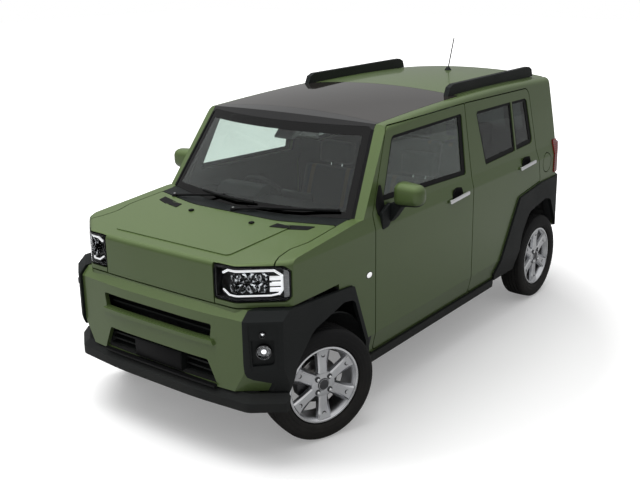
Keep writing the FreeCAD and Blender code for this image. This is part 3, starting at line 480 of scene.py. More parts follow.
def make_materials():
    """Every finish of the car."""
    finish, pieces, _ = settings()
    for make in (make_grain, make_flakes, make_weave, make_dust, make_cabin_mask):
        make()
    MATERIALS.update(
        paint=painted("green paint", finish.paint),
        trim=moulded("black cladding", finish.plastic, 0.55, scale=700.0, depth=0.0004, dusty=0.12,
                     Specular_IOR_Level=0.3),
        gloss=moulded("black gloss", (0.004, 0.004, 0.0045, 1), 0.12, scale=60.0, depth=0.0, Coat_Weight=0.5),
        rubber=moulded("seal rubber", (0.005, 0.005, 0.0055, 1), 0.6, scale=500.0, depth=0.0002,
                       Specular_IOR_Level=0.25),
        plate=moulded("blank plate", (0.0035, 0.0035, 0.004, 1), 0.45, scale=300.0, depth=0.0001,
                      Specular_IOR_Level=0.15),
        pane=glazed("side glass", finish.tint).material,
        privacy=glazed("privacy glass", finish.privacy).material,
        screen=edged_glass("windscreen glass", (0.75, 0.82, 0.79, 1), screen_edges(pieces.frit)),
        rear_screen=edged_glass("rear glass", finish.privacy, rear_edges()),
        roof_pane=moulded("roof glass", finish.roof_tint, 0.06, scale=30.0, depth=0.0, Coat_Weight=0.4,
                          Coat_Roughness=0.02),
        lamp=glazed("clear lamp cover", (0.95, 0.96, 0.97, 1), roughness=0.01, ior=1.03).material,
        chrome=metal("bright metal", (0.86, 0.87, 0.88, 1), 0.09, scale=30.0),
        reflector=metal("lamp reflector", (0.72, 0.73, 0.74, 1), 0.14, scale=30.0),
        light_guide=moulded("light guide", (0.82, 0.84, 0.86, 1), 0.25, scale=80.0, depth=0.0,
                            Emission_Color=(1, 1, 1, 1), Emission_Strength=0.6),
        smoke=moulded("ribbed strip", (0.22, 0.22, 0.225, 1), 0.2, scale=80.0, depth=0.0, Coat_Weight=0.6),
        red_lamp=banded_lamp("tail lamp", (0.16, 0.004, 0.004, 1), (0.5, 0.012, 0.01, 1)),
        rim=metal("satin silver", finish.alloy, 0.34, scale=200.0),
        machined=metal("machined alloy", (0.82, 0.83, 0.85, 1), 0.16, scale=400.0),
        dark_metal=metal("dark metal", (0.10, 0.10, 0.105, 1), 0.4, scale=200.0),
        disc=metal("brake disc", (0.42, 0.41, 0.40, 1), 0.3, scale=60.0),
        tyre=moulded("tyre rubber", (0.010, 0.010, 0.0105, 1), 0.7, scale=420.0, depth=0.0003, dusty=0.15,
                     Specular_IOR_Level=0.3),
        cloth=woven("seat cloth", finish.cloth),
        piping=woven("seat edge cloth", (0.16, 0.10, 0.045, 1)),
        dash=moulded("dashboard", (0.018, 0.018, 0.02, 1), 0.55, scale=500.0, depth=0.0005),
        screen_off=moulded("dark display", (0.004, 0.004, 0.005, 1), 0.08, scale=30.0, depth=0.0),
        steel=moulded("black steel", (0.03, 0.03, 0.031, 1), 0.5, scale=150.0, depth=0.0002, dusty=0.5),
        floor=moulded("underbody coating", (0.03, 0.031, 0.03, 1), 0.8, scale=260.0, depth=0.0008, dusty=0.5),
        engine=metal("cast alloy", (0.22, 0.22, 0.22, 1), 0.55, scale=300.0),
        mirror=metal("mirror glass", (0.9, 0.92, 0.93, 1), 0.02, scale=10.0),
    )


# Shapes, in millimetres

PLACES = {
    "x": (Vector((1, 0, 0)), lambda a, b, at: (at, a, b)),
    "y": (Vector((0, 1, 0)), lambda a, b, at: (a, at, b)),
    "z": (Vector((0, 0, 1)), lambda a, b, at: (a, b, at)),
}


def only(kind, geometry):
    """The verts, edges or faces among what an operator gives."""
    return [item for item in geometry if isinstance(item, kind)]


def round_corners(bm, width, steps):
    """Round the corners of a flat outline."""
    bmesh.ops.bevel(bm, geom=bm.verts[:], offset=width, offset_type="OFFSET", affect="VERTICES",
                    segments=steps, profile=0.5, material=-1)


def pulled(bm, vec):
    """Pull every face along a vector."""
    made = bmesh.ops.extrude_face_region(bm, geom=bm.faces[:])
    bmesh.ops.translate(bm, verts=only(bmesh.types.BMVert, made["geom"]), vec=vec)
    return bm


def slab(corners, axis, low, high, round_by=0.0, steps=4):
    """An outline across an axis, its corners rounded, pulled from low to high."""
    bm = bmesh.new()
    along, place = PLACES[axis]
    bm.faces.new([bm.verts.new(place(a, b, low)) for a, b in corners])
    if round_by:
        round_corners(bm, round_by, steps)
    return pulled(bm, along * (high - low))


def brick(x0, x1, y0, y1, z0, z1):
    """A box between two corners."""
    bm = bmesh.new()
    bmesh.ops.create_cube(bm, size=1.0)
    bmesh.ops.scale(bm, vec=(x1 - x0, y1 - y0, z1 - z0), verts=bm.verts[:])
    bmesh.ops.translate(bm, vec=((x0 + x1) / 2, (y0 + y1) / 2, (z0 + z1) / 2), verts=bm.verts[:])
    return bm


def soften(bm, width, segments=2, angle=30.0, wanted=None):
    """Round a shape's sharp edges."""
    limit = math.radians(angle)
    edges = [e for e in bm.edges if len(e.link_faces) == 2 and abs(e.calc_face_angle()) > limit
             and (wanted is None or wanted(e))]
    bmesh.ops.bevel(bm, geom=edges, offset=width, offset_type="OFFSET", affect="EDGES", segments=segments,
                    profile=0.5, material=-1, clamp_overlap=True)
    return bm


def cut(bm, place, facing, near=0.001, **more):
    """Cut every face along a plane."""
    bmesh.ops.bisect_plane(bm, geom=bm.verts[:] + bm.edges[:] + bm.faces[:], dist=near, plane_co=place,
                           plane_no=facing, **more)


def turned(points, steps=48, closed=False):
    """Points (x, radius) turned about the X axis."""
    bm = bmesh.new()
    verts = [bm.verts.new((x, 0, radius)) for x, radius in points]
    pairs = list(zip(verts, verts[1:])) + ([(verts[-1], verts[0])] if closed else [])
    edges = [bm.edges.new(pair) for pair in pairs]
    bmesh.ops.spin(bm, geom=verts + edges, cent=(0, 0, 0), axis=(1, 0, 0), dvec=(0, 0, 0), angle=FULL_TURN,
                   steps=steps, use_merge=True, use_duplicate=False)
    bmesh.ops.remove_doubles(bm, verts=bm.verts[:], dist=0.001)
    return bm


def tube(points, radius, sides=10, close=False):
    """A round bar through points."""
    bm = bmesh.new()
    spots = [Vector(p) for p in points]
    rings = []
    for i, spot in enumerate(spots):
        before = spots[i - 1] if i or close else spot
        after = spots[(i + 1) % len(spots)] if i + 1 < len(spots) or close else spot
        facing = (after - before).to_track_quat("Z", "Y").to_matrix().to_4x4()
        made = bmesh.ops.create_circle(bm, cap_ends=False, radius=radius, segments=sides)["verts"]
        bmesh.ops.transform(bm, matrix=Matrix.Translation(spot) @ facing, verts=made)
        rings.append({e for v in made for e in v.link_edges})
    pairs = list(zip(rings, rings[1:])) + ([(rings[-1], rings[0])] if close else [])
    for first, second in pairs:
        bmesh.ops.bridge_loops(bm, edges=list(first | second))
    if not close:
        ends = [e for e in bm.edges if e.is_boundary]
        bmesh.ops.holes_fill(bm, edges=ends, sides=0)
    return bm


def moved(bm, matrix):
    """A shape in another place."""
    bmesh.ops.transform(bm, matrix=matrix, verts=bm.verts[:])
    return bm


def join(whole, part, material=None, place=None):
    """Add a shape to a piece, in one of the piece's materials."""
    if place is not None:
        moved(part, place)
    if material is not None:
        for face in part.faces:
            face.material_index = material
    bmesh.ops.recalc_face_normals(part, faces=part.faces[:])
    mesh = bpy.data.meshes.new("shape")
    part.to_mesh(mesh)
    part.free()
    whole.from_mesh(mesh)
    bpy.data.meshes.remove(mesh)
    return whole


def flipped(bm):
    """The same shape on the car's other side."""
    bmesh.ops.scale(bm, vec=(-1, 1, 1), verts=bm.verts[:])
    bmesh.ops.reverse_faces(bm, faces=bm.faces[:])
    return bm


def piece(name, bm, body, slot, materials, replaces=(), sharp=32.0, side=1):
    """Make a shape, drawn on the left where it has a side, into a piece that rides on a body."""
    if side < 0:
        flipped(bm)
    bmesh.ops.scale(bm, vec=(MM, MM, MM), verts=bm.verts[:])
    mesh = bpy.data.meshes.new(name)
    bm.to_mesh(mesh)
    bm.free()
    mesh.shade_smooth()
    mesh.set_sharp_from_angle(angle=math.radians(sharp))
    for material in materials:
        mesh.materials.append(MATERIALS[material])
    thing = bpy.data.objects.new(name, mesh)
    bpy.context.scene.collection.objects.link(thing)
    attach(thing, body)
    if replaces:
        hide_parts(*replaces)
    return thing


# Places on the car, as the source has them

FRONT_AXLE = -1163.0
REAR_AXLE = 1297.0
HUB = 298.0
WHEEL_PLANE = 650.0
KINGPIN = 574.0
STEERED = math.radians(-21.0)
HALF_WIDTH = 722.0
WAIST = 1005.0
SHOULDER = 1080.0
WAIST_LEAN = 18 / 75
WINDOW_LEAN = 64 / 450
FRONT_CORNER = Matrix.Translation((657.5, -1600.0, 0)) @ Matrix.Rotation(math.atan2(106, 135), 4, "Z")


def wheel_place(end, side):
    """Where a wheel stands, its face drawn towards +X."""
    turn = 0.0 if side > 0 else math.pi
    if end == "rear":
        spot, angle = (WHEEL_PLANE * side, REAR_AXLE, HUB), turn
    else:
        reach = (WHEEL_PLANE - KINGPIN) * side
        spot = (KINGPIN * side + reach * math.cos(STEERED), FRONT_AXLE + reach * math.sin(STEERED), HUB)
        angle = turn + STEERED
    return Matrix.Translation(spot) @ Matrix.Rotation(angle, 4, "Z")


def side_x(z):
    """Half width of the body's skin at a height."""
    return HALF_WIDTH - max(0.0, min(z, SHOULDER) - WAIST) * WAIST_LEAN - max(0.0, z - SHOULDER) * WINDOW_LEAN


# Operators

OWN_FINISHES = {
    "windscreen": "screen", "tailgate_glass": "rear_screen", "door_glass_rear_left": "privacy",
    "door_glass_rear_right": "privacy", "roof_header": "gloss", "rear_axle": "steel", "exhaust": "dark_metal",
}


class WAGON_OT_finishes(bpy.types.Operator):
    """Give every CAD piece its finish"""
    bl_idname = "wagon.finishes"
    bl_label = "Finishes"

    def execute(self, context):
        make_materials()
        slots = {part["node"]: part["material_slot"] for part in frame["record"]["subparts"]}
        for name, node in NODES.items():
            node.data.materials.clear()
            node.data.materials.append(MATERIALS[OWN_FINISHES.get(name, slots[name])])
        return {"FINISHED"}


# A tyre's outline, as distance from its middle plane and radius

TYRE_WALL = [(54.5, 193), (58, 205), (64, 210), (72, 211), (76, 216), (78.6, 226), (79.8, 227), (80.2, 232),
             (79.6, 233), (80.8, 241), (81.9, 247), (82.3, 252), (81.6, 253.5), (81.8, 262), (80.6, 272),
             (79.4, 273), (77.4, 283), (72.5, 290)]
RIBS = ((66, 42.5), (36.5, 15.5), (10, -10), (-15.5, -36.5), (-42.5, -66))
TREAD_RADIUS = 297.8
TREAD_HALF = 66
TREAD_CROWN = 3.0
GROOVE_DEPTH = 6.5
RIB_DROP = 1.4
RIB_WIDTH = 15
RIB_FOOT = 290
BLOCK_EDGE = 1.3


class WAGON_OT_tyres(bpy.types.Operator):
    """Four tyres with ribbed sidewalls and blocks in their tread"""
    bl_idname = "wagon.tyres"
    bl_label = "Tyres"

    def execute(self, context):
        for end in ENDS:
            for name, side in SIDES:
                bm = join(bmesh.new(), self.tyre(), 0, wheel_place(end, side))
                piece("tyre_dressed_%s_%s" % (end, name), bm, "wheel_%s_%s" % (end, name), "tyre", ["tyre"],
                      ["tyre_%s_%s" % (end, name)])
        return {"FINISHED"}

    def tyre(self):
        """A tyre about the X axis."""
        tread = []
        for high, low in RIBS:
            for x, drop in ((high, GROOVE_DEPTH), (high, RIB_DROP), (low, RIB_DROP), (low, GROOVE_DEPTH)):
                tread.append((x, TREAD_RADIUS - TREAD_CROWN * (x / TREAD_HALF) ** 2 - drop))
        other_wall = [(-x, radius) for x, radius in reversed(TYRE_WALL)]
        bm = turned(TYRE_WALL + tread[1:-1] + other_wall, settings()[1].tread_blocks, closed=True)
        bmesh.ops.recalc_face_normals(bm, faces=bm.faces[:])
        tops = [face for face in bm.faces if self.tops_a_rib(face)]
        bmesh.ops.inset_individual(bm, faces=tops, thickness=BLOCK_EDGE, depth=BLOCK_EDGE)
        return bm

    def tops_a_rib(self, face):
        """Whether a face is a rib's top, and not a groove or a part of the wall."""
        spots = [v.co for v in face.verts]
        low, high = min(s.x for s in spots), max(s.x for s in spots)
        radius = min(math.hypot(s.y, s.z) for s in spots)
        return high - low > RIB_WIDTH and radius > RIB_FOOT and abs(high) < TREAD_HALF + 1


# A rim's outlines, as distance from its middle plane and radius

BARREL = [(68.5, 196), (68.5, 203), (66.5, 204), (61, 204), (55.5, 192.5), (-55.5, 192.5), (-60.5, 204),
          (-68.5, 204), (-68.5, 197), (-52, 184), (20, 178), (48, 182), (58, 190), (64, 194)]
BRIGHT_LIP = [(66.8, 192), (69.3, 194.5), (69.6, 199), (68.3, 203.5), (67.6, 199)]
HUB_BOWL = [(26, 0), (26, 72), (44, 72), (54, 68), (58, 60), (58, 34), (54, 30), (54, 0)]
SPOKE_FOOT_DIMPLE = [(0.5, 0), (0.5, 8), (1.8, 9.5), (1.8, 11.5), (-4, 12.5), (-4, 0)]
NUT_WELL = [(2.6, 0), (2.6, 12), (3.6, 13), (3.6, 15), (-2, 15.5), (-2, 0)]
NUT = [(0, 0), (0, 9.5), (12, 9.5), (15, 7), (16, 3), (16.4, 0)]
CAP = [(50, 29), (60, 29), (63, 26.5), (64.6, 20), (65.2, 0), (50, 0)]
CAP_RING = [(60, 29.3), (62.4, 29.3), (63.2, 27.8), (62.4, 26.6), (60, 26.6)]
BRAKE_DISC = [(-12, 0), (-12, 116), (-10.5, 118), (-3.5, 118), (-2, 116), (-2, 72), (30, 66), (30, 0)]
BRAKE_DRUM = [(-22, 0), (-22, 104), (-18, 108), (14, 108), (18, 104), (18, 60), (30, 54), (30, 0)]
CALIPER = [(-32, 78), (-32, 130), (16, 130), (16, 78), (4, 78), (4, 123), (-18, 123), (-18, 78)]
SPOKE = [(56, 30), (56.5, 80), (55.5, 120), (57, 150), (61, 174), (66, 193), (50, 193), (40, 172), (34, 130),
         (30, 70), (30, 30)]
SPOKE_HALF_WIDTHS = ((30, 30.0), (80, 29.0), (120, 30.0), (150, 33.0), (174, 39.0), (193, 47.0))
SPOKE_FACE = 50
SPOKE_FACE_SHARE = 0.86
SPOKES = 6
NUTS = 4
NUT_CIRCLE = 50
DIMPLE_CIRCLE = 160


class WAGON_OT_rims(bpy.types.Operator):
    """Four rims: barrel, six broad spokes with machined edges, nuts, cap, and the brake behind them"""
    bl_idname = "wagon.rims"
    bl_label = "Rims"

    def execute(self, context):
        for end in ENDS:
            for name, side in SIDES:
                bm = bmesh.new()
                for shape, material in self.parts(end):
                    join(bm, shape, material)
                moved(bm, wheel_place(end, side))
                piece("rim_dressed_%s_%s" % (end, name), bm, "wheel_%s_%s" % (end, name), "rim",
                      ["rim", "machined", "dark_metal", "disc", "chrome"], ["rim_%s_%s" % (end, name)])
        for name, side in SIDES:
            bm = join(bmesh.new(), self.caliper(), 0, wheel_place("front", side))
            piece("caliper_%s" % name, bm, "knuckle_%s" % name, "steel", ["dark_metal"])
        return {"FINISHED"}

    def parts(self, end):
        """The shapes of a wheel about the X axis, each with its material."""
        yield turned(BARREL, 72, closed=True), 0
        yield turned(BRIGHT_LIP, 72, closed=True), 1
        for step in range(SPOKES):
            turn = Matrix.Rotation(step * FULL_TURN / SPOKES, 4, "X")
            yield moved(self.spoke(), turn), None
            yield moved(turned(SPOKE_FOOT_DIMPLE, 20), turn @ Matrix.Translation((57.5, 0, DIMPLE_CIRCLE))), 2
        yield turned(HUB_BOWL, 48), 0
        for step in range(NUTS):
            angle = (step + 0.5) * FULL_TURN / NUTS
            spot = Matrix.Translation((56, NUT_CIRCLE * math.sin(angle), NUT_CIRCLE * math.cos(angle)))
            yield moved(turned(NUT_WELL, 24), spot), 2
            yield moved(turned(NUT, 6), spot), 4
        yield turned(CAP, 40), 2
        yield turned(CAP_RING, 40, closed=True), 1
        if end == "front":
            yield turned(BRAKE_DISC, 60), 3
        else:
            yield turned(BRAKE_DRUM, 60), 2

    def spoke(self):
        """One spoke, upright, with bright edges."""
        bm = slab(SPOKE, "y", -1.0, 1.0)
        for vert in bm.verts:
            r = vert.co.z
            for (low, first), (high, second) in zip(SPOKE_HALF_WIDTHS, SPOKE_HALF_WIDTHS[1:]):
                if low <= r <= high:
                    width = first + (second - first) * (r - low) / (high - low)
                    vert.co.y *= width * (SPOKE_FACE_SHARE if vert.co.x > SPOKE_FACE else 1.0)
                    break
        bmesh.ops.recalc_face_normals(bm, faces=bm.faces[:])
        soften(bm, 6.5, 1, 40.0, self.edges_the_face)
        for face in bm.faces:
            face.normal_update()
            bright = face.normal.x > 0.25 and abs(face.normal.y) > 0.3
            face.material_index = 1 if bright else 0
        return bm

    def edges_the_face(self, edge):
        """Whether an edge is one of the two long ones of a spoke's face."""
        return min(v.co.x for v in edge.verts) > SPOKE_FACE and abs(edge.verts[0].co.y) > 5

    def caliper(self):
        """A brake caliper, clear of the disc, ahead of the hub."""
        start, reach = math.radians(60), math.radians(52)
        bm = bmesh.new()
        face = bm.faces.new([bm.verts.new((x, 0, r)) for x, r in CALIPER])
        moved(bm, Matrix.Rotation(start, 4, "X"))
        bmesh.ops.spin(bm, geom=[face], cent=(0, 0, 0), axis=(1, 0, 0), dvec=(0, 0, 0), angle=reach, steps=8,
                       use_merge=False, use_duplicate=False)
        return bm


# The left headlamp: its front in plan, where that bends, and the inside drawn flat

LAMP_LINE = [(386, -1641.0), (498, -1637.4), (512, -1634.5), (528, -1626.0), (713, -1474.0), (724, -1462.0)]
LAMP_FOLDS = (112.0, 126.5, 145.2, 384.0)
LAMP_INNER, LAMP_OUTER = 3, 388
LAMP_FOOT, LAMP_TOP = 838, 1001
LAMP_FLOOR, LAMP_ROOF = 848, 992
LAMP_BACK = 46
GUIDE = [(46, 964), (76, 981), (312, 981), (348, 956), (348, 886), (334, 866), (296, 858), (78, 858),
         (44, 880)]
GUIDE_FOOT = 860
GUIDE_RADIUS, GUIDE_FOOT_RADIUS = 6.2, 4.6
GUIDE_DEPTH = 20
COVER_WALL, HOUSING_WALL = 3.0, 2.0
BOWL = [(0, 25), (3, 26), (10, 20), (22, 11), (25, 0), (27, 0), (24, 12), (12, 22), (0, 27)]
BOWL_ROWS = (898, 949)
LENS = [(14, 0), (14, 9), (10, 8), (7, 5), (6, 0)]


def along_lamp(s, depth):
    """The plan point at a distance along the left headlamp's front, and a depth behind it."""
    for (x0, y0), (x1, y1) in zip(LAMP_LINE, LAMP_LINE[1:]):
        run = math.hypot(x1 - x0, y1 - y0)
        if s <= run or (x1, y1) == LAMP_LINE[-1]:
            across = Vector(((x1 - x0) / run, (y1 - y0) / run))
            return Vector((x0, y0)) + across * s + Vector((-across.y, across.x)) * depth
        s -= run


class WAGON_OT_headlamps(bpy.types.Operator):
    """Two headlamps: housing, white outline, reflectors, bright bars and a clear cover"""
    bl_idname = "wagon.headlamps"
    bl_label = "Headlamps"

    def execute(self, context):
        for name, side in SIDES:
            inside = bmesh.new()
            for shape, material in self.parts():
                join(inside, self.wrapped(shape), material)
            join(inside, self.shell(False, HOUSING_WALL), 0)
            piece("headlamp_inside_%s" % name, inside, "root", "trim",
                  ["rubber", "light_guide", "reflector", "smoke"], ["headlamps"], side=side)
            piece("headlamp_cover_%s" % name, self.shell(True, COVER_WALL), "root", "lamp", ["lamp"],
                  ["headlamps"], side=side)
        return {"FINISHED"}

    def wrapped(self, bm):
        """A shape drawn flat, as distance along, depth and height, bent round the lamp's front."""
        for at in LAMP_FOLDS:
            cut(bm, (at, 0, 0), (1, 0, 0))
        for vert in bm.verts:
            spot = along_lamp(vert.co.x, vert.co.y)
            vert.co.x, vert.co.y = spot.x, spot.y
        return bm

    def shell(self, front, wall):
        """The left CAD lamp's front as a wall, or its other faces."""
        bm = bmesh.new()
        bm.from_mesh(NODES["headlamps"].data)
        bmesh.ops.scale(bm, vec=(1 / MM, 1 / MM, 1 / MM), verts=bm.verts[:])
        bmesh.ops.delete(bm, geom=[v for v in bm.verts if v.co.x < 0], context="VERTS")
        bmesh.ops.remove_doubles(bm, verts=bm.verts[:], dist=0.01)
        bm.normal_update()
        other = [f for f in bm.faces if (f.normal.y < -0.25 or f.normal.x > 0.45) != front]
        bmesh.ops.delete(bm, geom=other, context="FACES")
        bmesh.ops.solidify(bm, geom=bm.faces[:], thickness=wall)
        return bm

    def parts(self):
        """The lamp's inside, drawn flat, each shape with its material."""
        yield soften(brick(LAMP_INNER, LAMP_OUTER, LAMP_BACK, 50, LAMP_FOOT, LAMP_TOP), 1.0, 1), 0
        for s0, s1, z0, z1 in ((LAMP_INNER, LAMP_OUTER, LAMP_FOOT, LAMP_FLOOR),
                               (LAMP_INNER, LAMP_OUTER, LAMP_ROOF, LAMP_TOP),
                               (LAMP_INNER, 14, LAMP_FLOOR, LAMP_ROOF)):
            yield soften(brick(s0, s1, 5, LAMP_BACK, z0, z1), 1.5, 2), 0
        for first, second in zip(GUIDE, GUIDE[1:]):
            thick = min(first[1], second[1]) > GUIDE_FOOT
            yield self.bar(first, second, GUIDE_RADIUS if thick else GUIDE_FOOT_RADIUS), 1
        for row, z in enumerate(BOWL_ROWS):
            for column in range(4):
                s = 112 + 47 * column + 8 * row
                stand = Matrix.Translation((s, 16, z)) @ Matrix.Rotation(RIGHT_ANGLE, 4, "Z")
                turn = Matrix.Rotation(math.radians(25 * column + 70 * row), 4, "X")
                yield moved(turned(BOWL, 5), stand @ turn), 2
                yield self.slash(s, z, 1 if (row + column) % 2 else -1), 0
                yield moved(turned(LENS, 16), stand), 0
        yield soften(brick(90, 300, 20, 44, 921, 927), 1.0, 1), 0
        for z in (941, 913, 885):
            yield soften(brick(290, 346, 14, 40, z - 7, z + 7), 2.0, 2), 1
        yield soften(brick(356, 386, 8, 34, 850, 990), 3.0, 2), 3
        for step in range(16):
            z = 856 + 8.5 * step
            yield soften(brick(357, 385, 6.5, 9, z - 2, z + 2), 0.6, 1), 3

    def slash(self, s, z, lean):
        """A dark rib that leans across a reflector."""
        half, run, rise = 5, 13 * lean, 25
        corners = [(s - half - run, z - rise), (s + half - run, z - rise), (s + half + run, z + rise),
                   (s - half + run, z + rise)]
        return soften(slab(corners, "y", 12, 22), 1.0, 1)

    def bar(self, first, second, radius):
        """A light guide between two places on the lamp's face, with round ends."""
        ends = [(s, GUIDE_DEPTH, z) for s, z in (first, second)]
        bm = tube(ends, radius, 8)
        for end in ends:
            ball = bmesh.new()
            bmesh.ops.create_icosphere(ball, subdivisions=1, radius=radius * 1.04)
            join(bm, ball, None, Matrix.Translation(end))
        return bm


# The lamps in the front corner, each with its place in the corner's own plane and its radius

CORNER_LAMPS = (((-6, 6, 612), 39.0), ((-10, 0, 700), 17.0))
MARKER_PLACE = Vector((721, -833, 777))
MARKER_LENGTH, MARKER_HEIGHT = 24.0, 15.0


class WAGON_OT_small_lamps(bpy.types.Operator):
    """Fog lamps and side markers"""
    bl_idname = "wagon.small_lamps"
    bl_label = "Small lamps"

    def execute(self, context):
        for name, side in SIDES:
            bm = bmesh.new()
            for spot, radius in CORNER_LAMPS:
                place = FRONT_CORNER @ Matrix.Translation(spot) @ Matrix.Rotation(-RIGHT_ANGLE, 4, "Z")
                for material, shape in enumerate(self.corner_lamp(radius)):
                    join(bm, shape, material, place)
            piece("fog_lamp_dressed_%s" % name, bm, "root", "lamp", ["gloss", "lamp", "chrome"],
                  ["fog_lamps"], side=side)
            piece("side_marker_%s" % name, self.marker(), "root", "lamp", ["light_guide", "gloss"], side=side)
        return {"FINISHED"}

    def corner_lamp(self, radius):
        """A round lamp's ring, lens and bulb about the X axis."""
        yield turned([(0, 0), (0, radius), (14, radius), (20, radius - 2), (20, radius - 5), (15, radius - 7),
                      (6, radius - 14), (3, 0)], 40)
        yield turned([(5, 0), (5, radius * 0.5), (14, radius - 7.5), (16.5, radius - 8), (17.5, radius * 0.6),
                      (18.5, radius * 0.3), (18.8, 0)], 40)
        yield turned([(4, 0), (4.5, radius * 0.42), (9, radius * 0.3), (11, 0)], 24)

    def marker(self):
        """An oval lamp on the wing, and the ring round it."""
        bm = bmesh.new()
        dome = bmesh.new()
        bmesh.ops.create_uvsphere(dome, u_segments=32, v_segments=16, radius=1.0)
        ring = turned([(0, 1.0), (2.5, 1.0), (2.5, 1.12), (0, 1.2)], 32, closed=True)
        for shape, material, sunk, depth in ((dome, 0, 0.0, 6.5), (ring, 1, 0.5, 1.0)):
            place = Matrix.Translation(MARKER_PLACE - Vector((sunk, 0, 0)))
            join(bm, shape, material, place @ Matrix.Diagonal((depth, MARKER_LENGTH, MARKER_HEIGHT, 1)))
        return bm


# The side windows' openings, as length and height

PANES = {
    "front": [(-672, 1136), (-516, 1458), (258, 1470), (238, 1104)],
    "rear": [(498, 1114), (436, 1456), (918, 1454), (924, 1130)],
    "quarter": [(942, 1131), (936, 1453), (1160, 1450), (1196, 1142)],
}
DOOR_PANES = (("front", ("front",)), ("rear", ("rear", "quarter")))
EDGE_BEHIND = {"front": 30.0, "rear": 8.0, "quarter": 30.0}
EDGE_AHEAD = 8.0
EDGE_FOOT = 10.0
EDGE_INSET = 13.5
EDGE_DEPTH = 7.5
SEAL_CORD = 6.0
STRIP_FOOT, STRIP_RISE = 1082, 416
STRIP_INNER, STRIP_OUTER = -3, 14
STRIP_DEPTH = 3.4
PILLAR_EDGE, PILLAR_LEVEL, PILLAR_LEAN = 648, 1060, 0.168
CONE_RADIUS, CONE_LEVEL = 1902.4, 1070


class WAGON_OT_window_seals(bpy.types.Operator):
    """Black edges round the side windows, and seals at the windscreen, tailgate and front doors"""
    bl_idname = "wagon.window_seals"
    bl_label = "Window seals"

    def execute(self, context):
        width = settings()[1].seal / MM
        for name, side in SIDES:
            for door, panes in DOOR_PANES:
                bm = bmesh.new()
                for pane in panes:
                    join(bm, self.window_edge(PANES[pane], width, EDGE_BEHIND[pane]), 0)
                piece("window_seal_%s_%s" % (door, name), bm, "door_%s_%s" % (door, name), "trim", ["rubber"],
                      side=side)
            for label, bm in (("screen_seal", self.screen_seal()), ("gate_seal", self.gate_seal()),
                              ("door_seal", self.door_seal())):
                piece("%s_%s" % (label, name), bm, "root", "trim", ["rubber"], side=side)
        return {"FINISHED"}

    def screen_seal(self):
        """A strip on the pillar's face beside the windscreen, on the windscreen's cone."""
        bm = bmesh.new()
        bmesh.ops.create_grid(bm, x_segments=1, y_segments=8, size=0.5)
        for vert in bm.verts:
            z = STRIP_FOOT + STRIP_RISE * (vert.co.y + 0.5)
            edge = PILLAR_EDGE - (z - PILLAR_LEVEL) * PILLAR_LEAN
            x = edge + (STRIP_OUTER if vert.co.x > 0 else STRIP_INNER)
            radius = CONE_RADIUS - SCREEN_LEAN * (z - CONE_LEVEL)
            vert.co = (x, SCREEN_AXIS / MM - math.sqrt(radius * radius - x * x), z)
        pulled(bm, (0, STRIP_DEPTH, 0))
        bmesh.ops.recalc_face_normals(bm, faces=bm.faces[:])
        return bm

    def gate_seal(self):
        """A cord behind the gap beside the tailgate."""
        return tube([(621.5, 1592, 574), (621.5, 1592, 1000), (620.5, 1578, 1090), (613.5, 1557, 1200),
                     (600, 1557, 1335), (586, 1557, 1475)], SEAL_CORD, 8)

    def door_seal(self):
        """A cord behind the gap ahead of the front door's window."""
        foot, start, lean, inside = 1092, -773, 0.5095, 61
        heights = (foot, 1200, 1300, 1400, 1500)
        return tube([(side_x(z) - inside, start + (z - foot) * lean, z) for z in heights], SEAL_CORD, 8)

    def window_edge(self, corners, width, behind):
        """A ring inside a window's opening, wider at its rear and its foot, following the side's lean."""
        bm = bmesh.new()
        bm.faces.new([bm.verts.new((0, y, z)) for y, z in corners])
        round_corners(bm, 20.0, 4)
        bmesh.ops.inset_region(bm, faces=bm.faces[:], thickness=width, depth=0.0, use_even_offset=True,
                               use_boundary=True)
        middle = max(bm.faces, key=lambda face: face.calc_area())
        centre = middle.calc_center_median()
        for vert in middle.verts:
            vert.co.y -= behind - EDGE_AHEAD if vert.co.y > centre.y else 0.0
            vert.co.z += EDGE_FOOT if vert.co.z < centre.z else 0.0
        bmesh.ops.delete(bm, geom=[middle], context="FACES")
        for vert in bm.verts:
            vert.co.x = side_x(vert.co.z) - EDGE_INSET
        bmesh.ops.recalc_face_normals(bm, faces=bm.faces[:])
        return pulled(bm, (EDGE_DEPTH, 0, 0))


# The left mirror: its foot's and arm's outlines, the sail on the door, and the line under the painted cap

SAIL = [(-740, 1128), (-722, 1170), (-692, 1226), (-674, 1226), (-664, 1150), (-660, 1104), (-694, 1052),
        (-728, 1076)]
MIRROR_FOOT = [(-712, 992), (-718, 1084), (-650, 1120), (-610, 1120), (-612, 1060), (-650, 1000)]
MIRROR_ARM = [(712, 1010), (712, 1120), (770, 1126), (790, 1108), (742, 1040)]
CAP_LINE_PLACE = Vector((820, -600, 1136))
CAP_LINE_LEAN = 0.15
MIRROR_REAR = -550


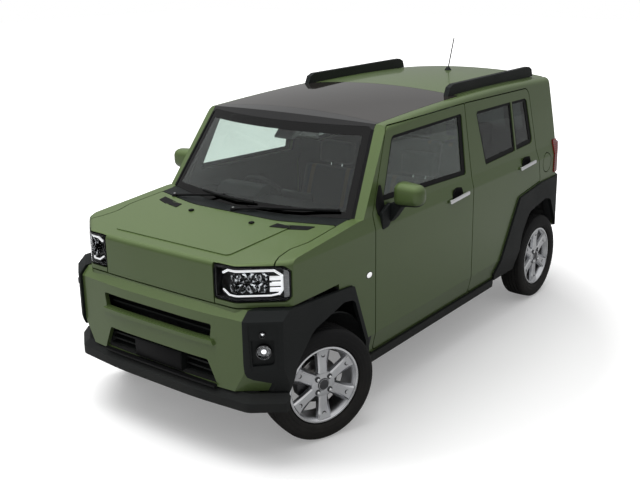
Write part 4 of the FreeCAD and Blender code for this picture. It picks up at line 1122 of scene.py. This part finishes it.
class WAGON_OT_mirrors(bpy.types.Operator):
    """Two door mirrors: painted cap, black foot and silvered glass"""
    bl_idname = "wagon.mirrors"
    bl_label = "Mirrors"

    def execute(self, context):
        for name, side in SIDES:
            bm = join(bmesh.new(), self.cap())
            join(bm, soften(slab(MIRROR_FOOT, "x", 702, 727, 12, 3), 5.0, 2), 1)
            join(bm, soften(slab(MIRROR_ARM, "y", -640, -585, 6, 3), 8.0, 3), 1)
            piece("mirror_dressed_%s" % name, bm, "door_front_%s" % name, "paint",
                  ["paint", "trim", "mirror"], ["mirror_%s" % name], side=side)
            sail = soften(slab(SAIL, "x", -3, 4, 8, 3), 1.5, 2, 50.0)
            for vert in sail.verts:
                vert.co.x += side_x(vert.co.z) + 0.5
            piece("mirror_sail_%s" % name, sail, "door_front_%s" % name, "trim", ["rubber"], side=side)
        return {"FINISHED"}

    def cap(self):
        """The left mirror's head, with its glass sunk in its rear."""
        bm = brick(744, 912, -664, MIRROR_REAR, 1106, 1244)
        for vert in bm.verts:
            if vert.co.x > 800:
                vert.co.z = 1120 if vert.co.z < 1175 else 1232
                vert.co.y = max(min(vert.co.y, -556), -652)
        soften(bm, 42.0, 6, 60.0)
        cut(bm, CAP_LINE_PLACE, (0, -CAP_LINE_LEAN, 1), 0.01)
        glass = [f for f in bm.faces if f.normal.y > 0.9]
        bmesh.ops.inset_region(bm, faces=glass, thickness=9.0, depth=-7.0)
        bm.normal_update()
        for face in bm.faces:
            middle = face.calc_center_median()
            under = middle.z < CAP_LINE_PLACE.z + CAP_LINE_LEAN * (middle.y - CAP_LINE_PLACE.y)
            if face in glass and face.normal.y > 0.9 and -562 < middle.y < -552:
                face.material_index = 2
            elif under or (middle.y > MIRROR_REAR - 25 and face.normal.y > 0.5):
                face.material_index = 1
            else:
                face.material_index = 0
        return bm


# Each wiper's pivot, and the two ends of its blade

WIPERS = (
    ((-505, -1022, 1066), (-335, -956, 1111), (72, -991, 1105)),
    ((-20, -1056, 1064), (51, -1012, 1084), (578, -893, 1116)),
)
WIPER_RISE = Vector((0, -6, 10))
WIPER_BOW = 34
PIVOT_BOSS = [(0, 0), (0, 17), (14, 16), (20, 11), (22, 0)]
PIVOT_NUT = [(18, 0), (18, 8), (25, 7), (27, 0)]


class WAGON_OT_wipers(bpy.types.Operator):
    """Two wipers, each an arm and a blade on a pivot"""
    bl_idname = "wagon.wipers"
    bl_label = "Wipers"

    def execute(self, context):
        bm = bmesh.new()
        for spots in WIPERS:
            pivot, start, end = (Vector(spot) for spot in spots)
            middle = start.lerp(end, 0.45)
            arm = [pivot + Vector((0, 0, 8)), pivot.lerp(middle, 0.3) + WIPER_RISE, middle + WIPER_RISE * 0.8]
            join(bm, tube(arm, 7.0, 8), 0)
            blade = [start.lerp(end, part) + WIPER_RISE * 0.4 + self.bow(part) for part in (0.3, 0.6)]
            join(bm, tube([start + WIPER_RISE * 0.3] + blade + [end + WIPER_RISE * 0.3], 8.5, 6), 0)
            stand = Matrix.Translation(pivot - Vector((0, 0, 4))) @ Matrix.Rotation(-RIGHT_ANGLE, 4, "Y")
            join(bm, turned(PIVOT_BOSS, 24), 0, stand)
            join(bm, turned(PIVOT_NUT, 6), 1, stand)
        piece("wipers", bm, "root", "trim", ["rubber", "chrome"])
        return {"FINISHED"}

    def bow(self, part):
        """How far a blade bends away from its chord."""
        return Vector((0, -WIPER_BOW * math.sin(math.pi * part), 4))


# Where each door's pull handle is, as length and height

HANDLES = (("front", 104, 991), ("rear", 1056, 1010))
# The dark cup in each handle's hollow is painted shade, as the hollow itself is body colour.
CUP_RADIUS = 91.4
SHADE_CUP_WALL = 1.2
CUP_SIDES = (((0, 64, 0), (0, 1, 0)), ((0, -64, 0), (0, -1, 0)), ((0, 0, 50), (0, 0, 1)),
             ((0, 0, -17), (0, 0, -1)))

# The left bonnet vent in plan, and the two lines that its inner front part stands higher than

VENT = [(335, -1176), (410, -1160), (492, -1132), (538, -1114), (546, -1058), (345, -1120)]
VENT_STEP_X, VENT_STEP_Y = 437, -1119
VENT_STEP_HALF = 2
VENT_HIGH, VENT_LOW = 6.4, 1.0
BONNET_FRONT, BONNET_LOW = -1645, 1012
BONNET_RISE = 68 / 745
NOZZLE_X, NOZZLE_Y = 218, -1175

# Each number plate's place and which way it faces

PLATES = (("front", -1672, 0.0, 457), ("rear", 1695, math.pi, 480))

# Plans and side views of the parts that close the body below

BUMPER_SILL = [(-402, -1689.6), (-243, -1694.6), (-157, -1695.4), (157, -1695.4), (243, -1694.6),
               (402, -1689.6), (402, -1664), (-402, -1664)]
BUMPER_END = [(303, 1702), (400, 1693), (500, 1678.5), (600, 1663), (643, 1657.5), (643, 1641), (600, 1646),
              (500, 1661), (400, 1675), (303, 1684)]
ARCH_WALL = [(950, 420), (1000, 550), (1104, 682), (1375, 724), (1470, 701), (1572, 535)]
ARCH_RADIUS = 352
WING_STRIP = [(596, -1570), (690, -1498), (716, -1440), (716, -1190), (700, -1190), (700, -1435),
              (680, -1488), (590, -1552)]
SCREEN_CAMERA = [(-560, 1470), (-640, 1400), (-628, 1388), (-500, 1436), (-490, 1476)]


class WAGON_OT_body_fittings(bpy.types.Operator):
    """Grips, bonnet vents and nozzles, plates, closing strips and the camera behind the windscreen"""
    bl_idname = "wagon.body_fittings"
    bl_label = "Body fittings"

    def execute(self, context):
        self.grips()
        self.bonnet()
        for name, y, turn, z in PLATES:
            place = Matrix.Translation((0, y, z)) @ Matrix.Rotation(turn, 4, "Z")
            piece("number_plate_%s" % name, moved(self.plate(), place), "root", "trim", ["plate"])
        self.closings()
        self.behind_screen()
        return {"FINISHED"}

    def grips(self):
        """A bright sleeve over each pull handle, and a dark cup behind it that is painted shade: the hollow
        is body colour and dark only in shadow.
        """
        for name, side in SIDES:
            for door, y, z in HANDLES:
                shade_cup = moved(self.shade_cup(), Matrix.Translation((784, y, z + 6)))
                outline = [(y - 116, z - 16.5), (y + 116, z - 3.5), (y + 116, z + 21.5), (y - 116, z + 8.5)]
                grip = soften(slab(outline, "x", 726.5, 744, 9, 4), 4.5, 3)
                for bm, label, slot, finish in ((shade_cup, "door_hollow_shade", "trim", "rubber"),
                                                (grip, "door_grip", "lamp", "chrome")):
                    piece("%s_%s_%s" % (label, door, name), bm, "door_%s_%s" % (door, name), slot, [finish],
                          side=side)

    def shade_cup(self):
        """A dark shell in the hollow behind a handle, standing in for the shade that falls in the
        body-coloured hollow.
        """
        inner = CUP_RADIUS - SHADE_CUP_WALL
        outside = [(-math.sqrt(CUP_RADIUS ** 2 - r * r), r) for r in range(0, 66, 5)]
        inside = [(-math.sqrt(inner ** 2 - r * r), r) for r in range(65, -1, -5)]
        bm = turned(outside + inside, 48)
        for place, facing in CUP_SIDES:
            cut(bm, place, facing, clear_outer=True)
            bmesh.ops.holes_fill(bm, edges=[e for e in bm.edges if e.is_boundary], sides=0)
        return bm

    def bonnet(self):
        """Black vents at the bonnet's rear corners, and two nozzles."""
        bm = bmesh.new()
        for side in (1, -1):
            join(bm, self.vent() if side > 0 else flipped(self.vent()))
            nozzle = soften(brick(-12, 12, -14, 12, 0, 11), 4.0, 3)
            spot = (NOZZLE_X * side, NOZZLE_Y, self.bonnet_top(NOZZLE_Y) + 3)
            join(bm, nozzle, 0, Matrix.Translation(spot))
        piece("bonnet_fittings", bm, "bonnet", "trim", ["rubber"])

    def vent(self):
        """The left vent, its inner front part lifted onto the bonnet's raised middle."""
        bm = join(bmesh.new(), soften(slab(VENT, "z", -6, 1.2, 6, 3), 0.8, 1), 0)
        for half in (-VENT_STEP_HALF, VENT_STEP_HALF):
            cut(bm, (VENT_STEP_X + half, 0, 0), (1, 0, 0))
            cut(bm, (0, VENT_STEP_Y + half, 0), (0, 1, 0))
        for vert in bm.verts:
            raised = vert.co.x < VENT_STEP_X and vert.co.y < VENT_STEP_Y
            vert.co.z += self.bonnet_top(vert.co.y) + (VENT_HIGH if raised else VENT_LOW)
        return bm

    def bonnet_top(self, y):
        """Height of the bonnet's skin."""
        return BONNET_LOW + (y - BONNET_FRONT) * BONNET_RISE

    def plate(self):
        """A blank plate with a raised rim, facing the front."""
        half_length, half_height, rim_width, rim_wall = 160, 41, 3.0, 1.2
        bm = join(bmesh.new(), soften(brick(-165, 165, -2.5, 0, -46, 46), 1.2, 2), 0)
        rim = bmesh.new()
        bmesh.ops.create_grid(rim, x_segments=1, y_segments=1, size=1.0)
        bmesh.ops.scale(rim, vec=(half_length, half_height, 1), verts=rim.verts[:])
        bmesh.ops.inset_region(rim, faces=rim.faces[:], thickness=rim_width, depth=0.0)
        middle = max(rim.faces, key=lambda face: face.calc_area())
        bmesh.ops.delete(rim, geom=[middle], context="FACES")
        bmesh.ops.solidify(rim, geom=rim.faces[:], thickness=rim_wall)
        return join(bm, rim, 0, Matrix.Translation((0, -3.0, 0)) @ Matrix.Rotation(RIGHT_ANGLE, 4, "X"))

    def closings(self):
        """The front bumper's sill, the rear one's ends, the rear arches' walls and the wings' strips."""
        sill = soften(slab(BUMPER_SILL, "z", 389.5, 399), 1.0, 1)
        piece("bumper_sill", sill, "root", "trim", ["rubber"])
        angles = [math.radians(degrees) for degrees in range(40, 161, 10)]
        arc = [(REAR_AXLE + ARCH_RADIUS * math.cos(a), HUB + ARCH_RADIUS * math.sin(a)) for a in angles]
        for name, side in SIDES:
            for label, bm, finish in (
                    ("bumper_end", soften(slab(BUMPER_END, "z", 306, 552), 4.0, 2), "trim"),
                    ("arch_wall", slab(ARCH_WALL + arc, "x", 656, 662), "rubber"),
                    ("wing_strip", slab(WING_STRIP, "z", 803, 809.5), "rubber")):
                piece("%s_%s" % (label, name), bm, "root", "trim", [finish], side=side)

    def behind_screen(self):
        """The camera housing and the mirror behind the windscreen."""
        bm = join(bmesh.new(), soften(slab(SCREEN_CAMERA, "x", -70, 60, 8, 3), 8.0, 3), 0)
        join(bm, soften(brick(-112, 112, -470, -448, 1368, 1428), 9.0, 4), 0)
        join(bm, tube([(0, -520, 1462), (0, -470, 1420)], 8, 10), 0)
        piece("screen_camera", bm, "root", "dash", ["gloss"])


# Each row of seats: place across, width, front edge, height above the front row, and the node it stands for

SEAT_ROWS = (("front_seat", 325, 460, -330, 0, "front_seats"), ("rear_seat", 243, 480, 560, 56, "rear_seat"))
PAD_ROUNDING = 0.30
PAD_STEPS = 16
CROWN = 9.0
CHANNEL_DEPTH = 7.0
CHANNEL_PLACE = 0.62
CHANNEL_HALF = 0.05
PIPING = (0.60, 0.66)
PULLED_IN = 0.035
RAIL_SHARE = 0.38
POST_ASIDE = 45


class WAGON_OT_seats(bpy.types.Operator):
    """Padded seats with piped edges and head restraints"""
    bl_idname = "wagon.seats"
    bl_label = "Seats"

    def execute(self, context):
        for name, side in SIDES:
            for row, across, width, front, lift, node in SEAT_ROWS:
                self.seat("%s_%s" % (row, name), across * side, width, front, lift, node)
        return {"FINISHED"}

    def seat(self, name, x, width, front, lift, node):
        """A seat's pads, and the frame under them."""
        pads = (
            ("cushion", (width - 10, 480, 118), (x, front + 240, 521 + lift), 4.8),
            ("back", (width - 10, 108, 500), (x, front + 545, 780 + lift), -18.0),
            ("head", (250, 92, 150), (x, front + 648, 1112 + lift), -8.0),
        )
        for label, size, middle, lean in pads:
            turn = Matrix.Translation(middle) @ Matrix.Rotation(math.radians(lean), 4, "X")
            thing = piece("%s_%s" % (name, label), moved(self.pad(size, label), turn), "root", "cloth",
                          ["cloth", "piping"], [node], 60.0)
        base = bmesh.new()
        for middle in (x - RAIL_SHARE * width, x + RAIL_SHARE * width):
            rail = brick(middle - 18, middle + 18, front + 70, front + 460, 284, 462 + lift)
            join(base, soften(rail, 4.0, 2), 0)
        for post in (x - POST_ASIDE, x + POST_ASIDE):
            ends = [(post, front + 632, 1000 + lift), (post, front + 646, 1060 + lift)]
            join(base, tube(ends, 6, 10), 1)
        piece("%s_frame" % name, base, "root", "dash", ["dash", "chrome"])

    def pad(self, size, label):
        """A crowned pad about the origin, with sewn channels on its front."""
        bm = bmesh.new()
        bmesh.ops.create_cube(bm, size=1.0)
        bmesh.ops.scale(bm, vec=size, verts=bm.verts[:])
        soften(bm, min(size) * PAD_ROUNDING, 4)
        for axis, length in enumerate(size):
            steps = max(2, round(length / max(size) * PAD_STEPS))
            for step in range(1, steps):
                at, facing = Vector((0, 0, 0)), Vector((0, 0, 0))
                at[axis] = length * (step / steps - 0.5)
                facing[axis] = 1.0
                cut(bm, at, facing, 0.01)
        thin = 2 if label == "cushion" else 1
        across, along = [axis for axis in range(3) if axis != thin]
        channelled = label != "head"
        for vert in bm.verts:
            u = 2 * vert.co[across] / size[across]
            v = 2 * vert.co[along] / size[along]
            crown = max(0.0, 1 - u * u) * max(0.0, 1 - v * v)
            outward = 1 if vert.co[thin] > 0 else -1
            bulge = CROWN * crown - (CHANNEL_DEPTH * self.channel(u) if channelled else 0.0)
            if abs(vert.co[thin]) > size[thin] * 0.3:
                vert.co[thin] += outward * bulge
            vert.co[across] *= 1 - PULLED_IN * (1 - abs(u)) * abs(v)
        bm.normal_update()
        for face in bm.faces:
            u = 2 * face.calc_center_median()[across] / size[across]
            face.material_index = 1 if channelled and PIPING[0] < abs(u) < PIPING[1] else 0
        return bm

    def channel(self, u):
        """Depth of the two sewn channels across a pad's width, from 0 to 1."""
        return math.exp(-((abs(u) - CHANNEL_PLACE) / CHANNEL_HALF) ** 2)


# The cabin's bricks: corners, rounding, its steps, and the material

CABIN_BRICKS = (
    ((-115, 115, -546, -520, 930, 1062), 7.0, 3, 1),
    ((-120, 120, -640, -535, 620, 915), 14.0, 4, 0),
    ((-100, 100, -545, -528, 830, 905), 5.0, 2, 1),
    ((160, 560, -560, -536, 806, 900), 8.0, 3, 0),
)
COWL_OVER_DIALS = [(-700, 1022), (-560, 1024), (-530, 1060), (-560, 1082), (-640, 1080)]
CONSOLE = [(-268, 264), (-140, 330), (-140, 480), (-268, 520)]
AIR_OUTLETS = (-520, -170, 170, 520)
OUTLET_BARS = (950, 961, 972, 983)
WHEEL_PAD = [(-68, -62), (68, -62), (84, 20), (60, 46), (-60, 46), (-84, 20)]
STEERING_PLACE = (-340, -395, 940)
STEERING_AXIS = Vector((0, 0.84, 0.54))
STEERING_RADIUS = 178.5
STEERING_GRIP = 15.6
STEERING_STEPS = 48


class WAGON_OT_cabin(bpy.types.Operator):
    """What shows of the dashboard and the steering wheel"""
    bl_idname = "wagon.cabin"
    bl_label = "Cabin"

    def execute(self, context):
        bm = join(bmesh.new(), soften(slab(COWL_OVER_DIALS, "x", -500, -180, 14, 4), 8.0, 3), 0)
        for corners, width, steps, material in CABIN_BRICKS:
            join(bm, soften(brick(*corners), width, steps), material)
        for x in AIR_OUTLETS:
            join(bm, soften(brick(x - 45, x + 45, -556, -526, 940, 992), 6.0, 2), 1)
            for level in OUTLET_BARS:
                join(bm, soften(brick(x - 36, x + 36, -530, -521, level - 2, level + 2), 1.0, 1), 2)
        join(bm, tube([(0, -560, 800), (0, -500, 850)], 12, 14), 1)
        join(bm, soften(slab(CONSOLE, "x", -54, 54, 14, 3), 8.0, 3), 0)
        piece("cabin_fittings", bm, "root", "dash", ["dash", "screen_off", "chrome"])
        piece("steering_wheel_dressed", self.steering_wheel(), "steering_wheel", "dash",
              ["dash", "screen_off"])
        return {"FINISHED"}

    def steering_wheel(self):
        """The pad, the switches on two spokes, and the grip round the rim."""
        facing = STEERING_AXIS.normalized().to_track_quat("Z", "Y").to_matrix().to_4x4()
        turn = Matrix.Translation(STEERING_PLACE) @ facing
        bm = join(bmesh.new(), soften(slab(WHEEL_PAD, "z", 2, 24, 20, 4), 7.0, 3), 0, turn)
        for side in (1, -1):
            switches = [(84 * side, -20), (128 * side, -14), (128 * side, 14), (84 * side, 18)]
            join(bm, soften(slab(switches, "z", 12, 19, 5, 2), 2.0, 2), 1, turn)
        angles = [FULL_TURN * step / STEERING_STEPS for step in range(STEERING_STEPS)]
        rim = [(STEERING_RADIUS * math.cos(a), STEERING_RADIUS * math.sin(a), 0) for a in angles]
        return join(bm, tube(rim, STEERING_GRIP, 12, True), 0, turn)


# The left rear spring's foot and form, and the tail pipe's end

SPRING_FOOT = (420, REAR_AXLE + 10, 330)
SPRING_RADIUS, SPRING_HEIGHT, SPRING_TURNS, SPRING_WIRE = 54, 84, 4, 6.5
PIPE_TIP = [(0, 21), (0, 24), (60, 26), (70, 26), (70, 22), (10, 20)]
PIPE_END = (380, 1622, 258.5)


class WAGON_OT_underside(bpy.types.Operator):
    """Rear springs and the tail pipe's tip"""
    bl_idname = "wagon.underside"
    bl_label = "Underside"

    def execute(self, context):
        for name, side in SIDES:
            bm = join(bmesh.new(), self.spring(side), 0)
            piece("rear_spring_%s" % name, bm, "root", "steel", ["dark_metal"])
        stand = Matrix.Translation(PIPE_END) @ Matrix.Rotation(RIGHT_ANGLE, 4, "Z")
        bm = join(bmesh.new(), turned(PIPE_TIP, 32, closed=True), 0, stand)
        piece("exhaust_tip", bm, "root", "steel", ["chrome"])
        return {"FINISHED"}

    def spring(self, side):
        """A coil spring on its foot."""
        x, y, z = SPRING_FOOT
        steps_a_turn = 20
        steps = steps_a_turn * SPRING_TURNS
        points = []
        for step in range(steps + 1):
            angle = FULL_TURN * step / steps_a_turn
            points.append((x * side + SPRING_RADIUS * math.cos(angle), y + SPRING_RADIUS * math.sin(angle),
                           z + SPRING_HEIGHT * step / steps))
        return tube(points, SPRING_WIRE, 8)


# The studio, in metres: the floor and how its white begins, the sky's reflection, and the two lamps

FLOOR_HALF = 30.0
FLOOR_SEEN = (0.8, 0.8, 0.8, 1)
FLOOR_LIGHTING = (0.24, 0.24, 0.24, 1)
FLOOR_SHINE = 0.15
WHITE_FROM, WHITE_SLOPE = 1.6, 0.72
GLOW_NEAR, GLOW_MORE = 0.24, 0.8
SKY_SHINE, SKY_SHINE_BEHIND = 0.2, 0.13
KEY_PLACE, KEY_AIM, KEY_SIZE = (-1.2, -1.2, 5.2), (0.0, -0.2, 0.8), 5.0
FILL_PLACE, FILL_AIM, FILL_SIZE = (4.5, -5.5, 3.0), (0.0, -0.3, 0.7), 4.0
SENSOR = 36.0


class WAGON_OT_studio(bpy.types.Operator):
    """Set the floor, the lights and the camera"""
    bl_idname = "wagon.studio"
    bl_label = "Studio"

    def execute(self, context):
        studio = settings()[2]
        scene = context.scene
        self.floor(scene)
        self.sky(scene, studio)
        self.lamp(scene, "key light", KEY_PLACE, KEY_AIM, KEY_SIZE, studio.key)
        self.lamp(scene, "fill light", FILL_PLACE, FILL_AIM, FILL_SIZE, studio.fill)
        self.camera(scene, studio)
        scene.view_settings.view_transform = "Standard"
        return {"FINISHED"}

    def floor(self, scene):
        """A plain floor under the car."""
        bm = bmesh.new()
        bmesh.ops.create_grid(bm, x_segments=1, y_segments=1, size=FLOOR_HALF)
        mesh = bpy.data.meshes.new("floor")
        bm.to_mesh(mesh)
        bm.free()
        mesh.materials.append(self.floor_finish())
        floor = bpy.data.objects.new("studio_floor", mesh)
        scene.collection.objects.link(floor)

    def seen(self, tree, shine):
        """1 for rays that show the background to the eye or through glass, less for mirrored ones."""
        calc = partial(math_node, tree)
        path = tree.nodes.new("ShaderNodeLightPath")
        straight = calc("LESS_THAN", path.outputs["Diffuse Depth"], 0.5)
        through = calc("MULTIPLY", path.outputs["Is Transmission Ray"], straight)
        plain = calc("MAXIMUM", path.outputs["Is Camera Ray"], through)
        return calc("MAXIMUM", plain, calc("MULTIPLY", path.outputs["Is Glossy Ray"], shine))

    def floor_finish(self):
        """A pale floor that keeps the shadow and turns white with distance."""
        finish = Finish("pale floor", FLOOR_SEEN, 0.6)
        tree = finish.tree
        seen = self.seen(tree, FLOOR_SHINE)
        finish.feed("Base Color", finish.blended(seen, FLOOR_LIGHTING, FLOOR_SEEN))
        distance = tree.nodes.new("ShaderNodeVectorMath")
        distance.operation = "LENGTH"
        tree.links.new(finish.place, distance.inputs[0])
        far = finish.calc("SUBTRACT", distance.outputs["Value"], WHITE_FROM)
        far = finish.calc("MAXIMUM", finish.calc("MULTIPLY", far, WHITE_SLOPE), 0.0)
        level = finish.calc("MULTIPLY_ADD", finish.calc("MINIMUM", far, 1.0), GLOW_MORE, GLOW_NEAR)
        glow = tree.nodes.new("ShaderNodeEmission")
        tree.links.new(finish.calc("MULTIPLY", level, seen), glow.inputs["Strength"])
        both = tree.nodes.new("ShaderNodeAddShader")
        for slot, shader in enumerate((finish.shader, glow)):
            tree.links.new(shader.outputs[0], both.inputs[slot])
        tree.links.new(both.outputs[0], tree.nodes["Material Output"].inputs["Surface"])
        return finish.material

    def sky(self, scene, studio):
        """A white backdrop that lights the car more from above than from the side."""
        world = bpy.data.worlds.new("studio")
        scene.world = world
        world.use_nodes = True
        tree = world.node_tree
        calc = partial(math_node, tree)
        back = tree.nodes["Background"]
        back.inputs["Color"].default_value = (1, 1, 1, 1)
        _, behind, rise = axes(tree, tree.nodes.new("ShaderNodeTexCoord").outputs["Generated"])
        light = calc("MULTIPLY_ADD", calc("MAXIMUM", rise, 0.0), studio.above, studio.around)
        shine = calc("MULTIPLY_ADD", calc("MAXIMUM", behind, 0.0), SKY_SHINE_BEHIND, SKY_SHINE)
        tree.links.new(calc("MAXIMUM", light, self.seen(tree, shine)), back.inputs["Strength"])

    def lamp(self, scene, name, place, aim, size, power):
        """A square soft light that looks at a point and isn't mirrored in the glass."""
        light = bpy.data.lights.new(name, "AREA")
        light.size = size
        light.energy = power
        thing = bpy.data.objects.new(name, light)
        thing.location = place
        thing.rotation_euler = (Vector(aim) - Vector(place)).to_track_quat("-Z", "Y").to_euler()
        thing.visible_glossy = False
        thing.visible_transmission = False
        scene.collection.objects.link(thing)

    def camera(self, scene, studio):
        """The camera at the photograph's angle."""
        a, e, r = studio.azimuth, studio.elevation, studio.roll
        back = Vector((math.sin(a) * math.cos(e), -math.cos(a) * math.cos(e), math.sin(e)))
        right = Vector((math.cos(a), math.sin(a), 0))
        up = back.cross(right)
        turned_right = math.cos(r) * right + math.sin(r) * up
        turned_up = -math.sin(r) * right + math.cos(r) * up
        lens = bpy.data.cameras.new("camera")
        lens.sensor_width = SENSOR
        lens.lens = studio.focal
        lens.shift_x = studio.shift_x
        lens.shift_y = studio.shift_y
        camera = bpy.data.objects.new("camera", lens)
        turn = Matrix((turned_right, turned_up, back)).transposed()
        camera.matrix_world = Matrix.Translation(Vector(studio.place)) @ turn.to_4x4()
        scene.collection.objects.link(camera)
        scene.camera = camera


class WAGON_PT_panel(bpy.types.Panel):
    """Lists what the wagon's dressing is made of"""
    bl_label = "Small tall wagon"
    bl_idname = "WAGON_PT_panel"
    bl_space_type = "VIEW_3D"
    bl_region_type = "UI"
    bl_category = "Wagon"

    def draw(self, context):
        for operator in OPERATORS:
            self.layout.operator(operator.bl_idname)


OPERATORS = (
    WAGON_OT_finishes, WAGON_OT_tyres, WAGON_OT_rims, WAGON_OT_headlamps, WAGON_OT_small_lamps,
    WAGON_OT_window_seals, WAGON_OT_mirrors, WAGON_OT_wipers, WAGON_OT_body_fittings, WAGON_OT_seats,
    WAGON_OT_cabin, WAGON_OT_underside, WAGON_OT_studio,
)
CLASSES = (FinishSettings, PieceSettings, StudioSettings) + OPERATORS + (WAGON_PT_panel,)


def register():
    for item in CLASSES:
        bpy.utils.register_class(item)
    bpy.types.Scene.wagon_finish = PointerProperty(type=FinishSettings)
    bpy.types.Scene.wagon_pieces = PointerProperty(type=PieceSettings)
    bpy.types.Scene.wagon_studio = PointerProperty(type=StudioSettings)


def unregister():
    del bpy.types.Scene.wagon_finish
    del bpy.types.Scene.wagon_pieces
    del bpy.types.Scene.wagon_studio
    for item in reversed(CLASSES):
        bpy.utils.unregister_class(item)


def main():
    register()
    for name in ("finishes", "tyres", "rims", "headlamps", "small_lamps", "window_seals", "mirrors", "wipers",
                 "body_fittings", "seats", "cabin", "underside", "studio"):
        getattr(bpy.ops.wagon, name)()


if __name__ == "__main__":
    main()
